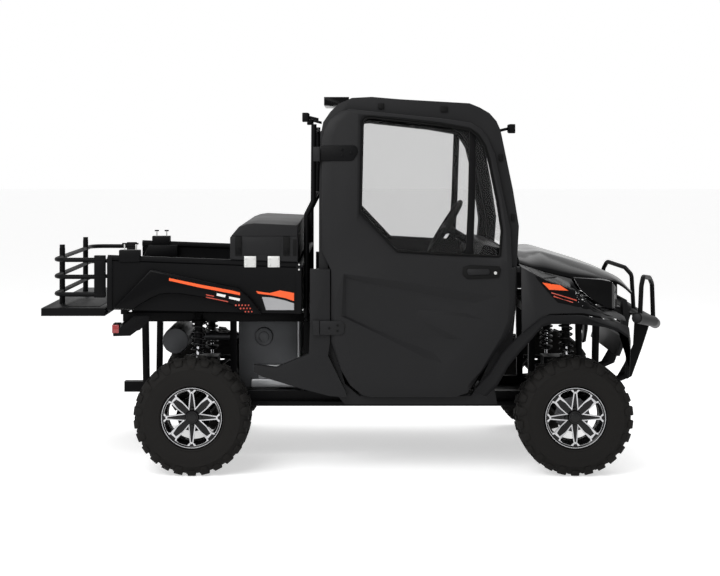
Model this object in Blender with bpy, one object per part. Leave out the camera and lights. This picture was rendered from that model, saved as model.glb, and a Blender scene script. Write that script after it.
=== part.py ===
"""Side by side utility vehicle: hard cab, tilting bed, lowered tailgate with a bed extender.

Metres, +X forward, +Y to the vehicle's left, +Z up. X and Y are zero at the middle of the
vehicle and Z is zero on the ground. The body sits slightly nose down on its springs.
"""
import math

import bmesh
import bpy
from mathutils import Matrix, Vector

# Wheels and overall reach
WHEELBASE = 2.05
FRONT_OVERHANG = 0.551
REAR_OVERHANG = 0.833
TRACK = 1.32
TYRE_DIAMETER = 0.626
TYRE_WIDTH = 0.230
GAP = 0.0003
RUNNING_GAP = 0.006
CUT_OVERRUN = 0.02

# Cab
CAB_REAR_FROM_AXLE = 0.678
CAB_FRONT_FROM_AXLE = 0.289
BELT_HEIGHT = 1.110
UPPER_HEIGHT = 0.924
SILL_HEIGHT = 0.370
DOOR_HALF_WIDTH = 0.715
ROOF_SIDE_INSET = 0.080
DOOR_THICKNESS = 0.045
PANE_THICKNESS = 0.005
PILLAR_THICKNESS = 0.045
SHEET = 0.025

# Cargo bed
BED_LENGTH = 1.045
BED_HALF_WIDTH = 0.685
BED_FRONT_GAP = 0.094
BED_FLOOR_HEIGHT = 0.862
BED_REAR_RISE = 0.022
BED_WALL_HEIGHT = 0.262
RAIL_SIZE = 0.038

OVERALL_LENGTH = REAR_OVERHANG + WHEELBASE + FRONT_OVERHANG
REAR_AXLE_X = REAR_OVERHANG - OVERALL_LENGTH / 2
FRONT_AXLE_X = REAR_AXLE_X + WHEELBASE
HUB_Z = TYRE_DIAMETER / 2
CAB_REAR_X = REAR_AXLE_X + CAB_REAR_FROM_AXLE
CAB_LENGTH = WHEELBASE - CAB_REAR_FROM_AXLE - CAB_FRONT_FROM_AXLE
LOWER_HEIGHT = BELT_HEIGHT - SILL_HEIGHT
BED_FRONT_X = CAB_REAR_X - BED_FRONT_GAP
BED_REAR_X = BED_FRONT_X - BED_LENGTH
SIDES = (("right", -1), ("left", 1))
SMOOTH_ANGLE = 30


def clear_scene():
    """Removes what the file opened with."""
    for item in list(bpy.data.objects):
        bpy.data.objects.remove(item, do_unlink=True)


def make_material(name, colour, roughness, metallic=0.0, alpha=1.0):
    """A Principled material of one colour, roughness and metallic value."""
    material = bpy.data.materials.new(name)
    material.use_nodes = True
    shader = material.node_tree.nodes["Principled BSDF"]
    shader.inputs["Base Color"].default_value = (*colour, 1.0)
    shader.inputs["Roughness"].default_value = roughness
    shader.inputs["Metallic"].default_value = metallic
    shader.inputs["Alpha"].default_value = alpha
    return material


def solid(name, points, faces, material):
    """One closed mesh object with its faces pointing out."""
    mesh = bpy.data.meshes.new(name)
    mesh.from_pydata([tuple(point) for point in points], [], faces)
    shape = bmesh.new()
    shape.from_mesh(mesh)
    bmesh.ops.recalc_face_normals(shape, faces=shape.faces)
    shape.to_mesh(mesh)
    shape.free()
    mesh.materials.append(material)
    piece = bpy.data.objects.new(name, mesh)
    bpy.context.collection.objects.link(piece)
    return piece


def loft(name, sections, material):
    """Skins equal closed sections in order and caps both ends."""
    count = len(sections[0])
    points = [point for section in sections for point in section]
    faces = [tuple(range(count)), tuple(range(len(points) - count, len(points)))]
    for row in range(len(sections) - 1):
        for column in range(count):
            after = (column + 1) % count
            low = row * count
            high = low + count
            faces.append((low + column, low + after, high + after, high + column))
    return solid(name, points, faces, material)


def ring(name, loops, material):
    """Skins equal closed loops in order, and the last back to the first."""
    count = len(loops[0])
    points = [point for loop in loops for point in loop]
    faces = []
    for row in range(len(loops)):
        low = row * count
        high = (row + 1) % len(loops) * count
        for column in range(count):
            after = (column + 1) % count
            faces.append((low + column, low + after, high + after, high + column))
    return solid(name, points, faces, material)


def prism(name, outline, low, high, material, axis="Y"):
    """Pushes a flat outline along one axis. Outlines are (X, Z), (Y, Z) or (X, Y)."""
    placed = {
        "Y": lambda point, level: (point[0], level, point[1]),
        "X": lambda point, level: (level, point[0], point[1]),
        "Z": lambda point, level: (point[0], point[1], level),
    }[axis]
    sections = [[placed(point, level) for point in outline] for level in (low, high)]
    return loft(name, sections, material)


def box(name, x_range, y_range, z_range, material):
    """A block between two corners."""
    outline = [(x_range[0], z_range[0]), (x_range[1], z_range[0]),
               (x_range[1], z_range[1]), (x_range[0], z_range[1])]
    return prism(name, outline, y_range[0], y_range[1], material)


def tube(name, path, diameter, material, sides=8, level=None):
    """A round bar along a path of points, mitred at each bend."""
    points = [Vector(point) for point in path]
    last = len(points) - 1
    guide = Vector(level) if level else Vector((0, 0, 1))
    sections = []
    for place, point in enumerate(points):
        before = (point - points[place - 1]).normalized() if place else None
        after = (points[place + 1] - point).normalized() if place < last else None
        along = (before or after) + (after or before)
        along.normalize()
        stretch = 1 / max((before or after).dot(along), 0.5)
        if abs(along.dot(guide)) > 0.98:
            guide = Vector((1, 0, 0))
        across = along.cross(guide).normalized()
        upward = across.cross(along).normalized()
        bend = (after - before) if before and after else Vector()
        bend = bend.normalized() if bend.length > 0.001 else None
        section = []
        for step in range(sides):
            turn = math.tau * (step + 0.5) / sides
            offset = (across * math.cos(turn) + upward * math.sin(turn)) * diameter / 2
            if bend:
                offset += bend * offset.dot(bend) * (stretch - 1)
            section.append(point + offset)
        sections.append(section)
    return loft(name, sections, material)


def lathe(name, profile, centre, material, steps=16):
    """Turns a closed (radius, offset) profile about a line along Y through a centre."""
    loops = []
    for step in range(steps):
        turn = math.tau * step / steps
        loops.append([(centre[0] + radius * math.sin(turn), centre[1] + offset,
                       centre[2] + radius * math.cos(turn)) for radius, offset in profile])
    return ring(name, loops, material)


def disc(name, centre, diameter, thickness, material, axis="Y", sides=16):
    """A short round bar with flat ends, centred at a point."""
    outline = []
    picks = {"Y": (0, 2), "X": (1, 2), "Z": (0, 1)}[axis]
    middle = centre["XYZ".index(axis)]
    for step in range(sides):
        turn = math.tau * step / sides
        outline.append((centre[picks[0]] + diameter / 2 * math.cos(turn),
                        centre[picks[1]] + diameter / 2 * math.sin(turn)))
    return prism(name, outline, middle - thickness / 2, middle + thickness / 2, material, axis)


def combine(target, tools, operation):
    """Joins the tools to the target, or takes them away, and keeps one mesh."""
    group = bpy.data.collections.new("tools")
    for tool in tools:
        group.objects.link(tool)
    change = target.modifiers.new("combine", "BOOLEAN")
    change.operation = operation
    change.solver = "EXACT"
    change.operand_type = "COLLECTION"
    change.collection = group
    graph = bpy.context.evaluated_depsgraph_get()
    material = target.data.materials[0]
    result = bpy.data.meshes.new_from_object(target.evaluated_get(graph))
    target.modifiers.clear()
    target.data = result
    result.materials.clear()
    result.materials.append(material)
    for tool in tools:
        bpy.data.objects.remove(tool, do_unlink=True)
    bpy.data.collections.remove(group)
    return target


def fuse(target, *tools):
    """Joins touching solids into one."""
    return combine(target, tools, "UNION")


def cut(target, *tools):
    """Takes solids away from one."""
    return combine(target, tools, "DIFFERENCE")


def hang(name, location, pieces, parent=None):
    """Parents pieces to an empty on their joint's axis and leaves them in place."""
    pivot = bpy.data.objects.new(name, None)
    pivot.location = location
    bpy.context.collection.objects.link(pivot)
    if parent:
        pivot.parent = parent
        pivot.matrix_parent_inverse = Matrix.Translation(parent.matrix_world.translation).inverted()
    bpy.context.view_layer.update()
    for piece in pieces:
        piece.parent = pivot
        piece.matrix_parent_inverse = Matrix.Translation(Vector(location)).inverted()
    return pivot


def outline_of(shares, start, span, base, rise):
    """Outline points from shares of a length and a height."""
    return [(start + span * along, base + rise * up) for along, up in shares]


def side_y(height, depth):
    """Distance from the middle of a point on the cab's side, which leans in above the belt."""
    lean = ROOF_SIDE_INSET * max(height - BELT_HEIGHT, 0) / UPPER_HEIGHT
    return DOOR_HALF_WIDTH - depth - lean


def side_points(outline, depth, side):
    """Places an (X, Z) outline on the cab's side, at a depth below the doors' skin."""
    return [(x, side * side_y(z, depth), z) for x, z in outline]


PAINT = make_material("charcoal plastic", (0.030, 0.030, 0.032), 0.55)
GLOSS = make_material("gloss black plastic", (0.012, 0.012, 0.013), 0.15)
STEEL = make_material("black powder coated steel", (0.02, 0.02, 0.02), 0.45)
RUBBER = make_material("tyre rubber", (0.025, 0.024, 0.022), 0.85)
ALLOY = make_material("machined alloy", (0.6, 0.6, 0.62), 0.3, 1.0)
BARE = make_material("bare steel", (0.45, 0.45, 0.47), 0.35, 1.0)
CLEAR = make_material("clear sheet", (0.8, 0.82, 0.82), 0.05, 0.0, 0.25)
SEATING = make_material("seat vinyl", (0.04, 0.04, 0.04), 0.6)

# Tyre and wheel
LUG_COUNT = 26
LUG_DEPTH = 0.011
LUG_EDGE_SHARES = (0.22, 0.78)
SHOULDER_WIDTH_SHARE = 0.80
SHOULDER_RADIUS_SHARE = 0.90
SIDEWALL_RADIUS_SHARE = 0.74
BEAD_DIAMETER = 0.311
BEAD_WIDTH_SHARE = 0.82
RIM_FLANGE_DIAMETER = 0.337
RIM_FLANGE_THICKNESS = 0.010
RIM_WALL = 0.010
RIM_FACE_INSET = 0.012
RIM_FACE_THICKNESS = 0.014
SPOKE_COUNT = 8
WINDOW_INNER_SHARE = 0.46
WINDOW_OUTER_SHARE = 0.80
WINDOW_INNER_HALF_ANGLE = 7
WINDOW_OUTER_HALF_ANGLE = 14
CAP_DIAMETER = 0.066
CAP_THICKNESS = 0.012
HUB_DIAMETER = 0.060


def tyre(name, centre, material):
    """An all terrain tyre: block lugs round the tread, smooth sidewalls and an open bore."""
    half = TYRE_WIDTH / 2
    radius = TYRE_DIAMETER / 2
    columns = LUG_COUNT * 2
    rows = []
    points = []

    def add_row(steps, place):
        rows.append((len(points), steps))
        for step in range(steps):
            radial, offset = place(step)
            turn = math.tau * (step - 0.5) / steps
            if steps > columns:
                turn = math.tau * (step // 2 + LUG_EDGE_SHARES[step % 2] - 0.5) / columns
            points.append((centre[0] + radial * math.sin(turn), centre[1] + offset,
                           centre[2] - radial * math.cos(turn)))

    def drop(step):
        return 0 if step // 2 % 2 == 0 else LUG_DEPTH

    bead = BEAD_DIAMETER / 2
    for sign in (-1, 1):
        wide = [
            (columns, lambda step: (bead, sign * half * BEAD_WIDTH_SHARE)),
            (columns, lambda step: (radius * SIDEWALL_RADIUS_SHARE, sign * half)),
            (columns * 2, lambda step: ((radius - drop(step)) * SHOULDER_RADIUS_SHARE,
                                        sign * (half - drop(step) / 2))),
            (columns * 2, lambda step: (radius - drop(step), sign * half * SHOULDER_WIDTH_SHARE)),
        ]
        for steps, place in (wide if sign < 0 else reversed(wide)):
            add_row(steps, place)
    faces = []
    for index, (low, low_steps) in enumerate(rows):
        high, high_steps = rows[(index + 1) % len(rows)]
        if low_steps == high_steps:
            for step in range(low_steps):
                after = (step + 1) % low_steps
                faces.append((low + step, low + after, high + after, high + step))
            continue
        fine, coarse = (high, low) if high_steps > low_steps else (low, high)
        for step in range(columns):
            after = (step + 1) % columns
            start = step * 2 + 1
            ends = [fine + (start + extra) % (columns * 2) for extra in (-1, 0, 1)]
            faces.append((coarse + step, ends[0], ends[1], ends[2], coarse + after))
    return solid(name, points, faces, material)


def rim(name, centre, side, material):
    """A cast wheel: flanged barrel, a face with eight windows near its outer edge and a cap."""
    half = TYRE_WIDTH / 2 * BEAD_WIDTH_SHARE + GAP
    seat = BEAD_DIAMETER / 2 - GAP
    flange = RIM_FLANGE_DIAMETER / 2
    edge = half + RIM_FLANGE_THICKNESS
    face = edge - RIM_FACE_INSET
    back = face - RIM_FACE_THICKNESS
    inner = seat - RIM_WALL
    hub = HUB_DIAMETER / 2
    bulge = TYRE_WIDTH / 2 * (1 - BEAD_WIDTH_SHARE)
    lean = half + bulge * (flange - seat) / (TYRE_DIAMETER / 2 * SIDEWALL_RADIUS_SHARE - seat) + GAP
    profile = [(flange, edge), (flange, lean), (seat, half), (seat, -half), (flange, -lean),
               (flange, -edge), (inner, -edge), (inner, back), (hub, back), (hub, face),
               (inner, face), (inner, edge)]
    placed = [(radius, side * offset) for radius, offset in profile]
    body = lathe(name, placed, centre, material)
    windows = []
    for spoke in range(SPOKE_COUNT):
        middle = math.tau * (spoke + 0.5) / SPOKE_COUNT
        outline = []
        for share, half_angle in ((WINDOW_INNER_SHARE, -WINDOW_INNER_HALF_ANGLE),
                                  (WINDOW_OUTER_SHARE, -WINDOW_OUTER_HALF_ANGLE),
                                  (WINDOW_OUTER_SHARE, WINDOW_OUTER_HALF_ANGLE),
                                  (WINDOW_INNER_SHARE, WINDOW_INNER_HALF_ANGLE)):
            turn = middle + math.radians(half_angle)
            outline.append((centre[0] + inner * share * math.cos(turn),
                            centre[2] + inner * share * math.sin(turn)))
        levels = sorted(centre[1] + side * level for level in
                        (back - CUT_OVERRUN, face + CUT_OVERRUN))
        windows.append(prism("window cutter", outline, levels[0], levels[1], material))
    cut(body, *windows)
    cap = disc("cap", (centre[0], centre[1] + side * (face - CAP_THICKNESS / 2 + GAP * 2),
                       centre[2]), CAP_DIAMETER, CAP_THICKNESS, material, "Y", 12)
    return fuse(body, cap)


# Chassis
RAIL_HALF_SPACING = 0.280
CHASSIS_TUBE = 0.050
CHASSIS_BOTTOM = 0.335
CHASSIS_REAR_REACH = 0.330
CHASSIS_FRONT_REACH = 0.270
TOWER_HALF_SPREAD = 0.180
TOWER_CAP_OVERLAP = 0.040
MIDDLE_POST_FROM_AXLE = 0.190
CHASSIS_REAR_X = REAR_AXLE_X - CHASSIS_REAR_REACH
CHASSIS_FRONT_X = FRONT_AXLE_X + CHASSIS_FRONT_REACH
BED_BEARER_DROP = 0.030
SUBFRAME_HALF_SPACING = 0.330
SUBFRAME_TOP = BED_FLOOR_HEIGHT - BED_BEARER_DROP
FRONT_TOWER_TOP = 0.860
FRONT_TOWER_HALF_SPACING = 0.330
CROSS_SHARES = (0.01, 0.16, 0.30, 0.45, 0.72, 0.90, 0.985)
HITCH_LENGTH = 0.140
HITCH_SIZE = 0.060
SKID_HALF_WIDTH = 0.360
SKID_THICKNESS = 0.006
SKID_DROP = 0.020
SKID_REAR_SETBACK = 0.100
SKID_REAR_RAMP = 0.300
SKID_FRONT_RAMP = 0.200


def main_frame():
    """Two box tube rails and the cross tubes between them, with the hitch tube."""
    low = CHASSIS_BOTTOM
    high = low + CHASSIS_TUBE
    half = CHASSIS_TUBE / 2
    length = CHASSIS_FRONT_X - CHASSIS_REAR_X
    bars = []
    for name, side in SIDES:
        rail = sorted((side * (RAIL_HALF_SPACING - half), side * (RAIL_HALF_SPACING + half)))
        bars.append(box("rail", (CHASSIS_REAR_X, CHASSIS_FRONT_X), rail, (low, high), STEEL))
    for share in CROSS_SHARES:
        middle = CHASSIS_REAR_X + length * share
        bars.append(box("cross", (middle - half, middle + half), (-RAIL_HALF_SPACING, RAIL_HALF_SPACING),
                        (low + GAP, high - GAP), STEEL))
    hitch = HITCH_SIZE / 2
    bars.append(box("hitch", (CHASSIS_REAR_X - HITCH_LENGTH, CHASSIS_REAR_X + half), (-hitch, hitch),
                    (low - GAP, low + HITCH_SIZE), STEEL))
    return rename(fuse(*bars), "chassis_frame")


def post(x, top_y, top_z, side):
    """Square post from inside a main rail up to a point beside it."""
    half = CHASSIS_TUBE / 2
    foot = (x, side * RAIL_HALF_SPACING, CHASSIS_BOTTOM + half)
    return tube("post", [foot, (x, side * top_y, top_z - half)], CHASSIS_TUBE, STEEL, 4)


def seated(piece):
    """Trims a frame's feet so that they stand on the main rails."""
    reach = RAIL_HALF_SPACING + CHASSIS_TUBE
    along = (CHASSIS_REAR_X - CHASSIS_TUBE, CHASSIS_FRONT_X + CHASSIS_TUBE)
    seat = box("seat cutter", along, (-reach, reach),
               (CHASSIS_BOTTOM - CUT_OVERRUN, CHASSIS_BOTTOM + CHASSIS_TUBE + GAP), STEEL)
    return cut(piece, seat)


def rear_subframe():
    """Bearers that carry the bed on three pairs of posts, with the bed's pivot tube across them."""
    half = CHASSIS_TUBE / 2
    front_x = CAB_REAR_X - SHEET * 2
    low = SUBFRAME_TOP - CHASSIS_TUBE
    reach = SUBFRAME_HALF_SPACING + half
    bars = []
    for name, side in SIDES:
        across = sorted((side * (SUBFRAME_HALF_SPACING - half), side * reach))
        bars.append(box("bearer", (CHASSIS_REAR_X, front_x), across, (low, SUBFRAME_TOP), STEEL))
        for x in (CHASSIS_REAR_X + half, REAR_AXLE_X + MIDDLE_POST_FROM_AXLE, front_x - half):
            bars.append(post(x, SUBFRAME_HALF_SPACING, SUBFRAME_TOP, side))
        along = (BED_PIVOT_X - BED_PIVOT_TUBE / 3, CHASSIS_REAR_X + CHASSIS_TUBE)
        bars.append(box("pivot bearer", along, across, (low, SUBFRAME_TOP), STEEL))
    for middle in (CHASSIS_REAR_X + half, front_x - half):
        bars.append(box("cross", (middle - half, middle + half),
                        (-SUBFRAME_HALF_SPACING, SUBFRAME_HALF_SPACING),
                        (low + GAP, SUBFRAME_TOP - GAP), STEEL))
    bars.append(tube("pivot", [(BED_PIVOT_X, -reach, BED_PIVOT_Z), (BED_PIVOT_X, reach, BED_PIVOT_Z)],
                     BED_PIVOT_TUBE + GAP * 4, STEEL, 12))
    return rename(seated(fuse(*bars)), "rear_subframe")


def front_tower():
    """Four posts over the front axle under two caps and a cross tube, which carry the shocks and the nose."""
    half = CHASSIS_TUBE / 2
    low = FRONT_TOWER_TOP - CHASSIS_TUBE
    rear_x = FRONT_AXLE_X - TOWER_HALF_SPREAD
    bars = []
    for name, side in SIDES:
        for x in (rear_x, FRONT_AXLE_X + TOWER_HALF_SPREAD):
            bars.append(post(x, FRONT_TOWER_HALF_SPACING, FRONT_TOWER_TOP, side))
        across = sorted((side * (FRONT_TOWER_HALF_SPACING - half), side * (FRONT_TOWER_HALF_SPACING + half)))
        bars.append(box("cap", (rear_x - TOWER_CAP_OVERLAP, CHASSIS_FRONT_X), across,
                        (low, FRONT_TOWER_TOP), STEEL))
    bars.append(box("cross", (rear_x - half, rear_x + half),
                    (-FRONT_TOWER_HALF_SPACING, FRONT_TOWER_HALF_SPACING),
                    (low + GAP, FRONT_TOWER_TOP - GAP), STEEL))
    return rename(seated(fuse(*bars)), "front_tower")


def skid_plate():
    """Folded plate bolted under the main rails."""
    top = CHASSIS_BOTTOM - GAP
    start = CHASSIS_REAR_X + SKID_REAR_SETBACK
    base = top - SKID_DROP - SKID_THICKNESS
    outline = [(start, top), (CHASSIS_FRONT_X, top), (CHASSIS_FRONT_X, top - SKID_THICKNESS),
               (CHASSIS_FRONT_X - SKID_FRONT_RAMP, base), (start + SKID_REAR_RAMP, base),
               (start, top - SKID_THICKNESS)]
    return prism("skid_plate", outline, -SKID_HALF_WIDTH, SKID_HALF_WIDTH, STEEL)


# Suspension, hubs and drive
KINGPIN_INBOARD = 0.070
KNUCKLE_HEIGHT = 0.110
KNUCKLE_DIAMETER = 0.056
BALL_HEIGHT = 0.036
BALL_DIAMETER = 0.044
ARM_TUBE = 0.026
ARM_HALF_SPREAD = 0.130
ARM_PIVOT_Y = 0.335
SPINDLE_DIAMETER = 0.040
BRAKE_DIAMETER = 0.190
BRAKE_THICKNESS = 0.008
HALF_SHAFT = 0.032
CV_BOOT_DIAMETER = 0.070
CV_BOOT_LENGTH = 0.060
DRIVE_CASE_SIZE = 0.160
CARRIER_BAR = 0.030
SHOCK_DIAMETER = 0.080
SHOCK_ROD = 0.030
SHOCK_COILS = 7
SHOCK_EYE = 0.034
SHOCK_BASE_Y = 0.450
SHOCK_TOP_DROP = 0.030
SHOCK_COIL_SHARES = (0.24, 0.84)

KINGPIN_Y = TRACK / 2 - KINGPIN_INBOARD


def suspension(name, axle_x, steered):
    """Arms, drive case and half shafts of one axle, joined by their pivot bars."""
    lower_z = HUB_Z - KNUCKLE_HEIGHT / 2 - BALL_HEIGHT / 2
    upper_z = HUB_Z + KNUCKLE_HEIGHT / 2 + BALL_HEIGHT / 2
    base_z = CHASSIS_BOTTOM + CHASSIS_TUBE / 2
    rail_top = CHASSIS_BOTTOM + CHASSIS_TUBE
    pieces = [box("drive case", (axle_x - DRIVE_CASE_SIZE / 2, axle_x + DRIVE_CASE_SIZE / 2),
                  (-DRIVE_CASE_SIZE / 2, DRIVE_CASE_SIZE / 2),
                  (rail_top + GAP, rail_top + DRIVE_CASE_SIZE), STEEL)]
    case_z = rail_top + DRIVE_CASE_SIZE * 0.9
    upper_base = base_z + DRIVE_CASE_SIZE / 2 + CHASSIS_TUBE
    for across_x in (axle_x - ARM_HALF_SPREAD / 3, axle_x + ARM_HALF_SPREAD / 3):
        ends = [(across_x, side * ARM_PIVOT_Y, upper_base) for side in (-1, 1)]
        pieces.append(tube("carrier", ends, CARRIER_BAR, STEEL, 4))
    for side_name, side in SIDES:
        for arm_z, pivot_z in ((lower_z, base_z), (upper_z, upper_base)):
            pieces.append(tube("pivot bar", [(axle_x - ARM_HALF_SPREAD * 1.15, side * ARM_PIVOT_Y, pivot_z),
                                             (axle_x + ARM_HALF_SPREAD * 1.15, side * ARM_PIVOT_Y, pivot_z)],
                               CARRIER_BAR, STEEL, 4))
            drop = BALL_HEIGHT / 4 if arm_z == lower_z else 0
            for end in (-1, 1):
                pieces.append(tube("arm leg", [(axle_x + end * ARM_HALF_SPREAD, side * ARM_PIVOT_Y, pivot_z),
                                               (axle_x, side * KINGPIN_Y, arm_z - drop)], ARM_TUBE, STEEL, 4))
            pieces.append(disc("ball", (axle_x, side * KINGPIN_Y, arm_z), BALL_DIAMETER, BALL_HEIGHT,
                               STEEL, "Z", 8))
        share = (SHOCK_BASE_Y - ARM_PIVOT_Y) / (KINGPIN_Y - ARM_PIVOT_Y)
        seat_z = upper_base + (upper_z - upper_base) * share
        reach = ARM_HALF_SPREAD * (1 - share)
        ends = [(axle_x + end * reach, side * SHOCK_BASE_Y, seat_z) for end in (-1, 1)]
        pieces.append(tube("shock seat", ends, CARRIER_BAR, STEEL, 4))
        pieces.append(tube("pivot post", [(axle_x, side * ARM_PIVOT_Y, base_z),
                                          (axle_x, side * ARM_PIVOT_Y, upper_base)], CARRIER_BAR, STEEL, 4))
        boot_y = KINGPIN_Y - KNUCKLE_DIAMETER / 2 - RUNNING_GAP * 2
        pieces.append(tube("half shaft", [(axle_x, side * DRIVE_CASE_SIZE / 4, case_z),
                                          (axle_x, side * (boot_y - CV_BOOT_LENGTH / 2), HUB_Z)],
                           HALF_SHAFT, STEEL, 6))
        pieces.append(disc("boot", (axle_x, side * (boot_y - CV_BOOT_LENGTH / 2), HUB_Z),
                           CV_BOOT_DIAMETER, CV_BOOT_LENGTH, STEEL, "Y", 8))
        if not steered:
            pieces += knuckle_parts(axle_x, side, -BALL_HEIGHT / 4)
    return rename(fuse(pieces[0], *pieces[1:]), name)


def rename(piece, name):
    """Gives a finished piece its own name."""
    piece.name = name
    piece.data.name = name
    return piece


def knuckle_parts(axle_x, side, play):
    """Upright, brake disc and spindle that carry one wheel, with play between the ball joints."""
    face = TYRE_WIDTH / 2 * BEAD_WIDTH_SHARE + GAP + RIM_FLANGE_THICKNESS - RIM_FACE_INSET
    tip = TRACK / 2 + face - CAP_THICKNESS + GAP
    upright = KNUCKLE_HEIGHT - play * 2
    body = disc("upright", (axle_x, side * KINGPIN_Y, HUB_Z), KNUCKLE_DIAMETER, upright, BARE, "Z", 8)
    spindle = disc("spindle", (axle_x, side * (KINGPIN_Y + tip) / 2, HUB_Z), SPINDLE_DIAMETER,
                   tip - KINGPIN_Y, BARE, "Y", 8)
    plate = disc("brake disc", (axle_x, side * (KINGPIN_Y + KNUCKLE_DIAMETER * 0.9), HUB_Z),
                 BRAKE_DIAMETER, BRAKE_THICKNESS, BARE, "Y", 12)
    return [body, spindle, plate]


def shock(name, x, side, frame_half):
    """Coil over damper from the upper arm to the frame, whose tubes stand at a half spacing."""
    share = (SHOCK_BASE_Y - ARM_PIVOT_Y) / (KINGPIN_Y - ARM_PIVOT_Y)
    inner_z = CHASSIS_BOTTOM + CHASSIS_TUBE * 1.5 + DRIVE_CASE_SIZE / 2
    outer_z = HUB_Z + KNUCKLE_HEIGHT / 2 + BALL_HEIGHT / 2
    seat_top = inner_z + (outer_z - inner_z) * share + CARRIER_BAR / 2 * math.sqrt(0.5)
    foot = Vector((x, side * SHOCK_BASE_Y, seat_top + SHOCK_EYE / 2 * math.sqrt(0.75) + GAP))
    head = Vector((x, side * (frame_half + CHASSIS_TUBE / 2 + SHOCK_EYE / 2 + GAP * 2),
                   FRONT_TOWER_TOP - SHOCK_TOP_DROP))
    along = head - foot
    length = along.length
    along.normalize()
    low, high = (length * part for part in SHOCK_COIL_SHARES)
    profile = [(0.0, SHOCK_ROD / 2), (low, SHOCK_ROD / 2)]
    pitch = (high - low) / SHOCK_COILS
    for coil in range(SHOCK_COILS):
        start = low + pitch * coil
        profile.append((start + pitch * 0.3, SHOCK_DIAMETER / 2))
        if coil < SHOCK_COILS - 1:
            profile.append((start + pitch * 0.8, SHOCK_DIAMETER / 2 * 0.7))
    profile += [(high, SHOCK_ROD / 2), (length, SHOCK_ROD / 2)]
    across = along.cross(Vector((1, 0, 0))).normalized()
    ahead = across.cross(along).normalized()
    sections = []
    for reach, radius in profile:
        sections.append([foot + along * reach + (across * math.cos(turn) + ahead * math.sin(turn)) * radius
                         for turn in (math.tau * step / 8 for step in range(8))])
    body = loft(name, sections, STEEL)
    eyes = [disc("eye", tuple(point), SHOCK_EYE, SHOCK_EYE, STEEL, "X", 6) for point in (foot, head)]
    return fuse(body, *eyes)


# Engine
ENGINE_LENGTH = 0.360
ENGINE_HEIGHT = 0.400
ENGINE_WIDTH = 0.400
MUFFLER_DIAMETER = 0.150
MUFFLER_LENGTH = 0.420
MUFFLER_RISE = 0.110


def engine():
    """The engine as one block behind the cab, with its silencer on a short pipe."""
    front = CAB_REAR_X - SHEET * 2 - CHASSIS_TUBE - RUNNING_GAP
    base = CHASSIS_BOTTOM + CHASSIS_TUBE + GAP
    block = box("engine_block", (front - ENGINE_LENGTH, front), (-ENGINE_WIDTH / 2, ENGINE_WIDTH / 2),
                (base, base + ENGINE_HEIGHT), BARE)
    middle_x = REAR_AXLE_X - MUFFLER_DIAMETER
    middle_z = base + DRIVE_CASE_SIZE + MUFFLER_RISE
    can = disc("muffler", (middle_x, 0, middle_z), MUFFLER_DIAMETER, MUFFLER_LENGTH, BARE, "Y", 16)
    pipe = tube("pipe", [(front - ENGINE_LENGTH / 2, 0, middle_z), (middle_x, 0, middle_z)],
                MUFFLER_DIAMETER / 3, BARE, 8)
    return fuse(block, can, pipe)


# Cab frame, doors, glass and tub
RING_UPPER_OUTER_SHARES = [
    (0.0, 0.0), (0.0, 0.39), (0.007, 0.77), (0.02, 0.85), (0.055, 0.91), (0.095, 0.957), (0.165, 0.994),
    (0.265, 1.0), (0.405, 0.986), (0.607, 0.971), (0.757, 0.962), (0.807, 0.938), (0.857, 0.904),
    (0.892, 0.857), (0.912, 0.804), (0.943, 0.628), (0.972, 0.452), (1.0, 0.24), (0.993, 0.1)]
RING_UPPER_INNER_SHARES = [
    (0.045, 0.0), (0.045, 0.39), (0.045, 0.73), (0.055, 0.79), (0.075, 0.84), (0.11, 0.88), (0.16, 0.903),
    (0.265, 0.903), (0.405, 0.884), (0.607, 0.861), (0.74, 0.838), (0.79, 0.802), (0.82, 0.76),
    (0.845, 0.71), (0.865, 0.655), (0.895, 0.50), (0.92, 0.36), (0.943, 0.22), (0.945, 0.1)]
RING_LOWER_OUTER_SHARES = [
    (0.987, 1.0), (0.985, 0.76), (0.965, 0.44), (0.905, 0.25), (0.875, 0.12), (0.89, 0.0), (0.5, 0.0),
    (0.13, 0.0), (0.06, 0.12), (0.01, 0.35), (0.0, 0.7)]
RING_LOWER_INNER_SHARES = [
    (0.94, 1.0), (0.93, 0.76), (0.90, 0.48), (0.85, 0.31), (0.80, 0.15), (0.76, 0.062), (0.5, 0.062),
    (0.2, 0.062), (0.13, 0.15), (0.085, 0.37), (0.07, 0.7)]
DOOR_UPPER_SHARES = [
    (0.015, 0.0), (0.015, 0.39), (0.015, 0.745), (0.03, 0.81), (0.055, 0.86), (0.105, 0.91),
    (0.155, 0.926), (0.405, 0.895), (0.607, 0.872), (0.757, 0.847), (0.807, 0.811), (0.842, 0.76),
    (0.878, 0.66), (0.923, 0.396), (0.953, 0.22), (0.957, 0.0), (0.5, 0.0)]
WINDOW_SHARES = [
    (0.39, 0.098), (0.21, 0.322), (0.22, 0.82), (0.222, 0.85), (0.235, 0.871), (0.27, 0.874),
    (0.31, 0.868), (0.406, 0.856), (0.607, 0.83), (0.757, 0.80), (0.797, 0.762), (0.827, 0.704),
    (0.85, 0.60), (0.885, 0.39), (0.907, 0.216), (0.897, 0.069), (0.62, 0.083)]
DOOR_LOWER_SHARES = [
    (0.0, 1.0), (0.0, 0.424), (0.054, 0.205), (0.103, 0.09), (0.168, 0.015), (0.222, 0.0), (0.67, 0.0),
    (0.74, 0.034), (0.805, 0.174), (0.86, 0.273), (0.903, 0.356), (0.94, 0.432), (0.968, 0.508),
    (0.99, 0.62), (1.0, 0.98), (1.0, 1.0)]
DOOR_REAR_SETBACK = 0.066
DOOR_FRONT_SETBACK = 0.024
DOOR_SHELL_HEIGHT = 0.709
BELT_OVERLAP = 0.016
DOOR_CHAMFER = 0.014
DOOR_CHAMFER_SHARE = 0.985
PANE_MARGIN_SHARE = 1.035
HINGE_OUT = 0.012
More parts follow.
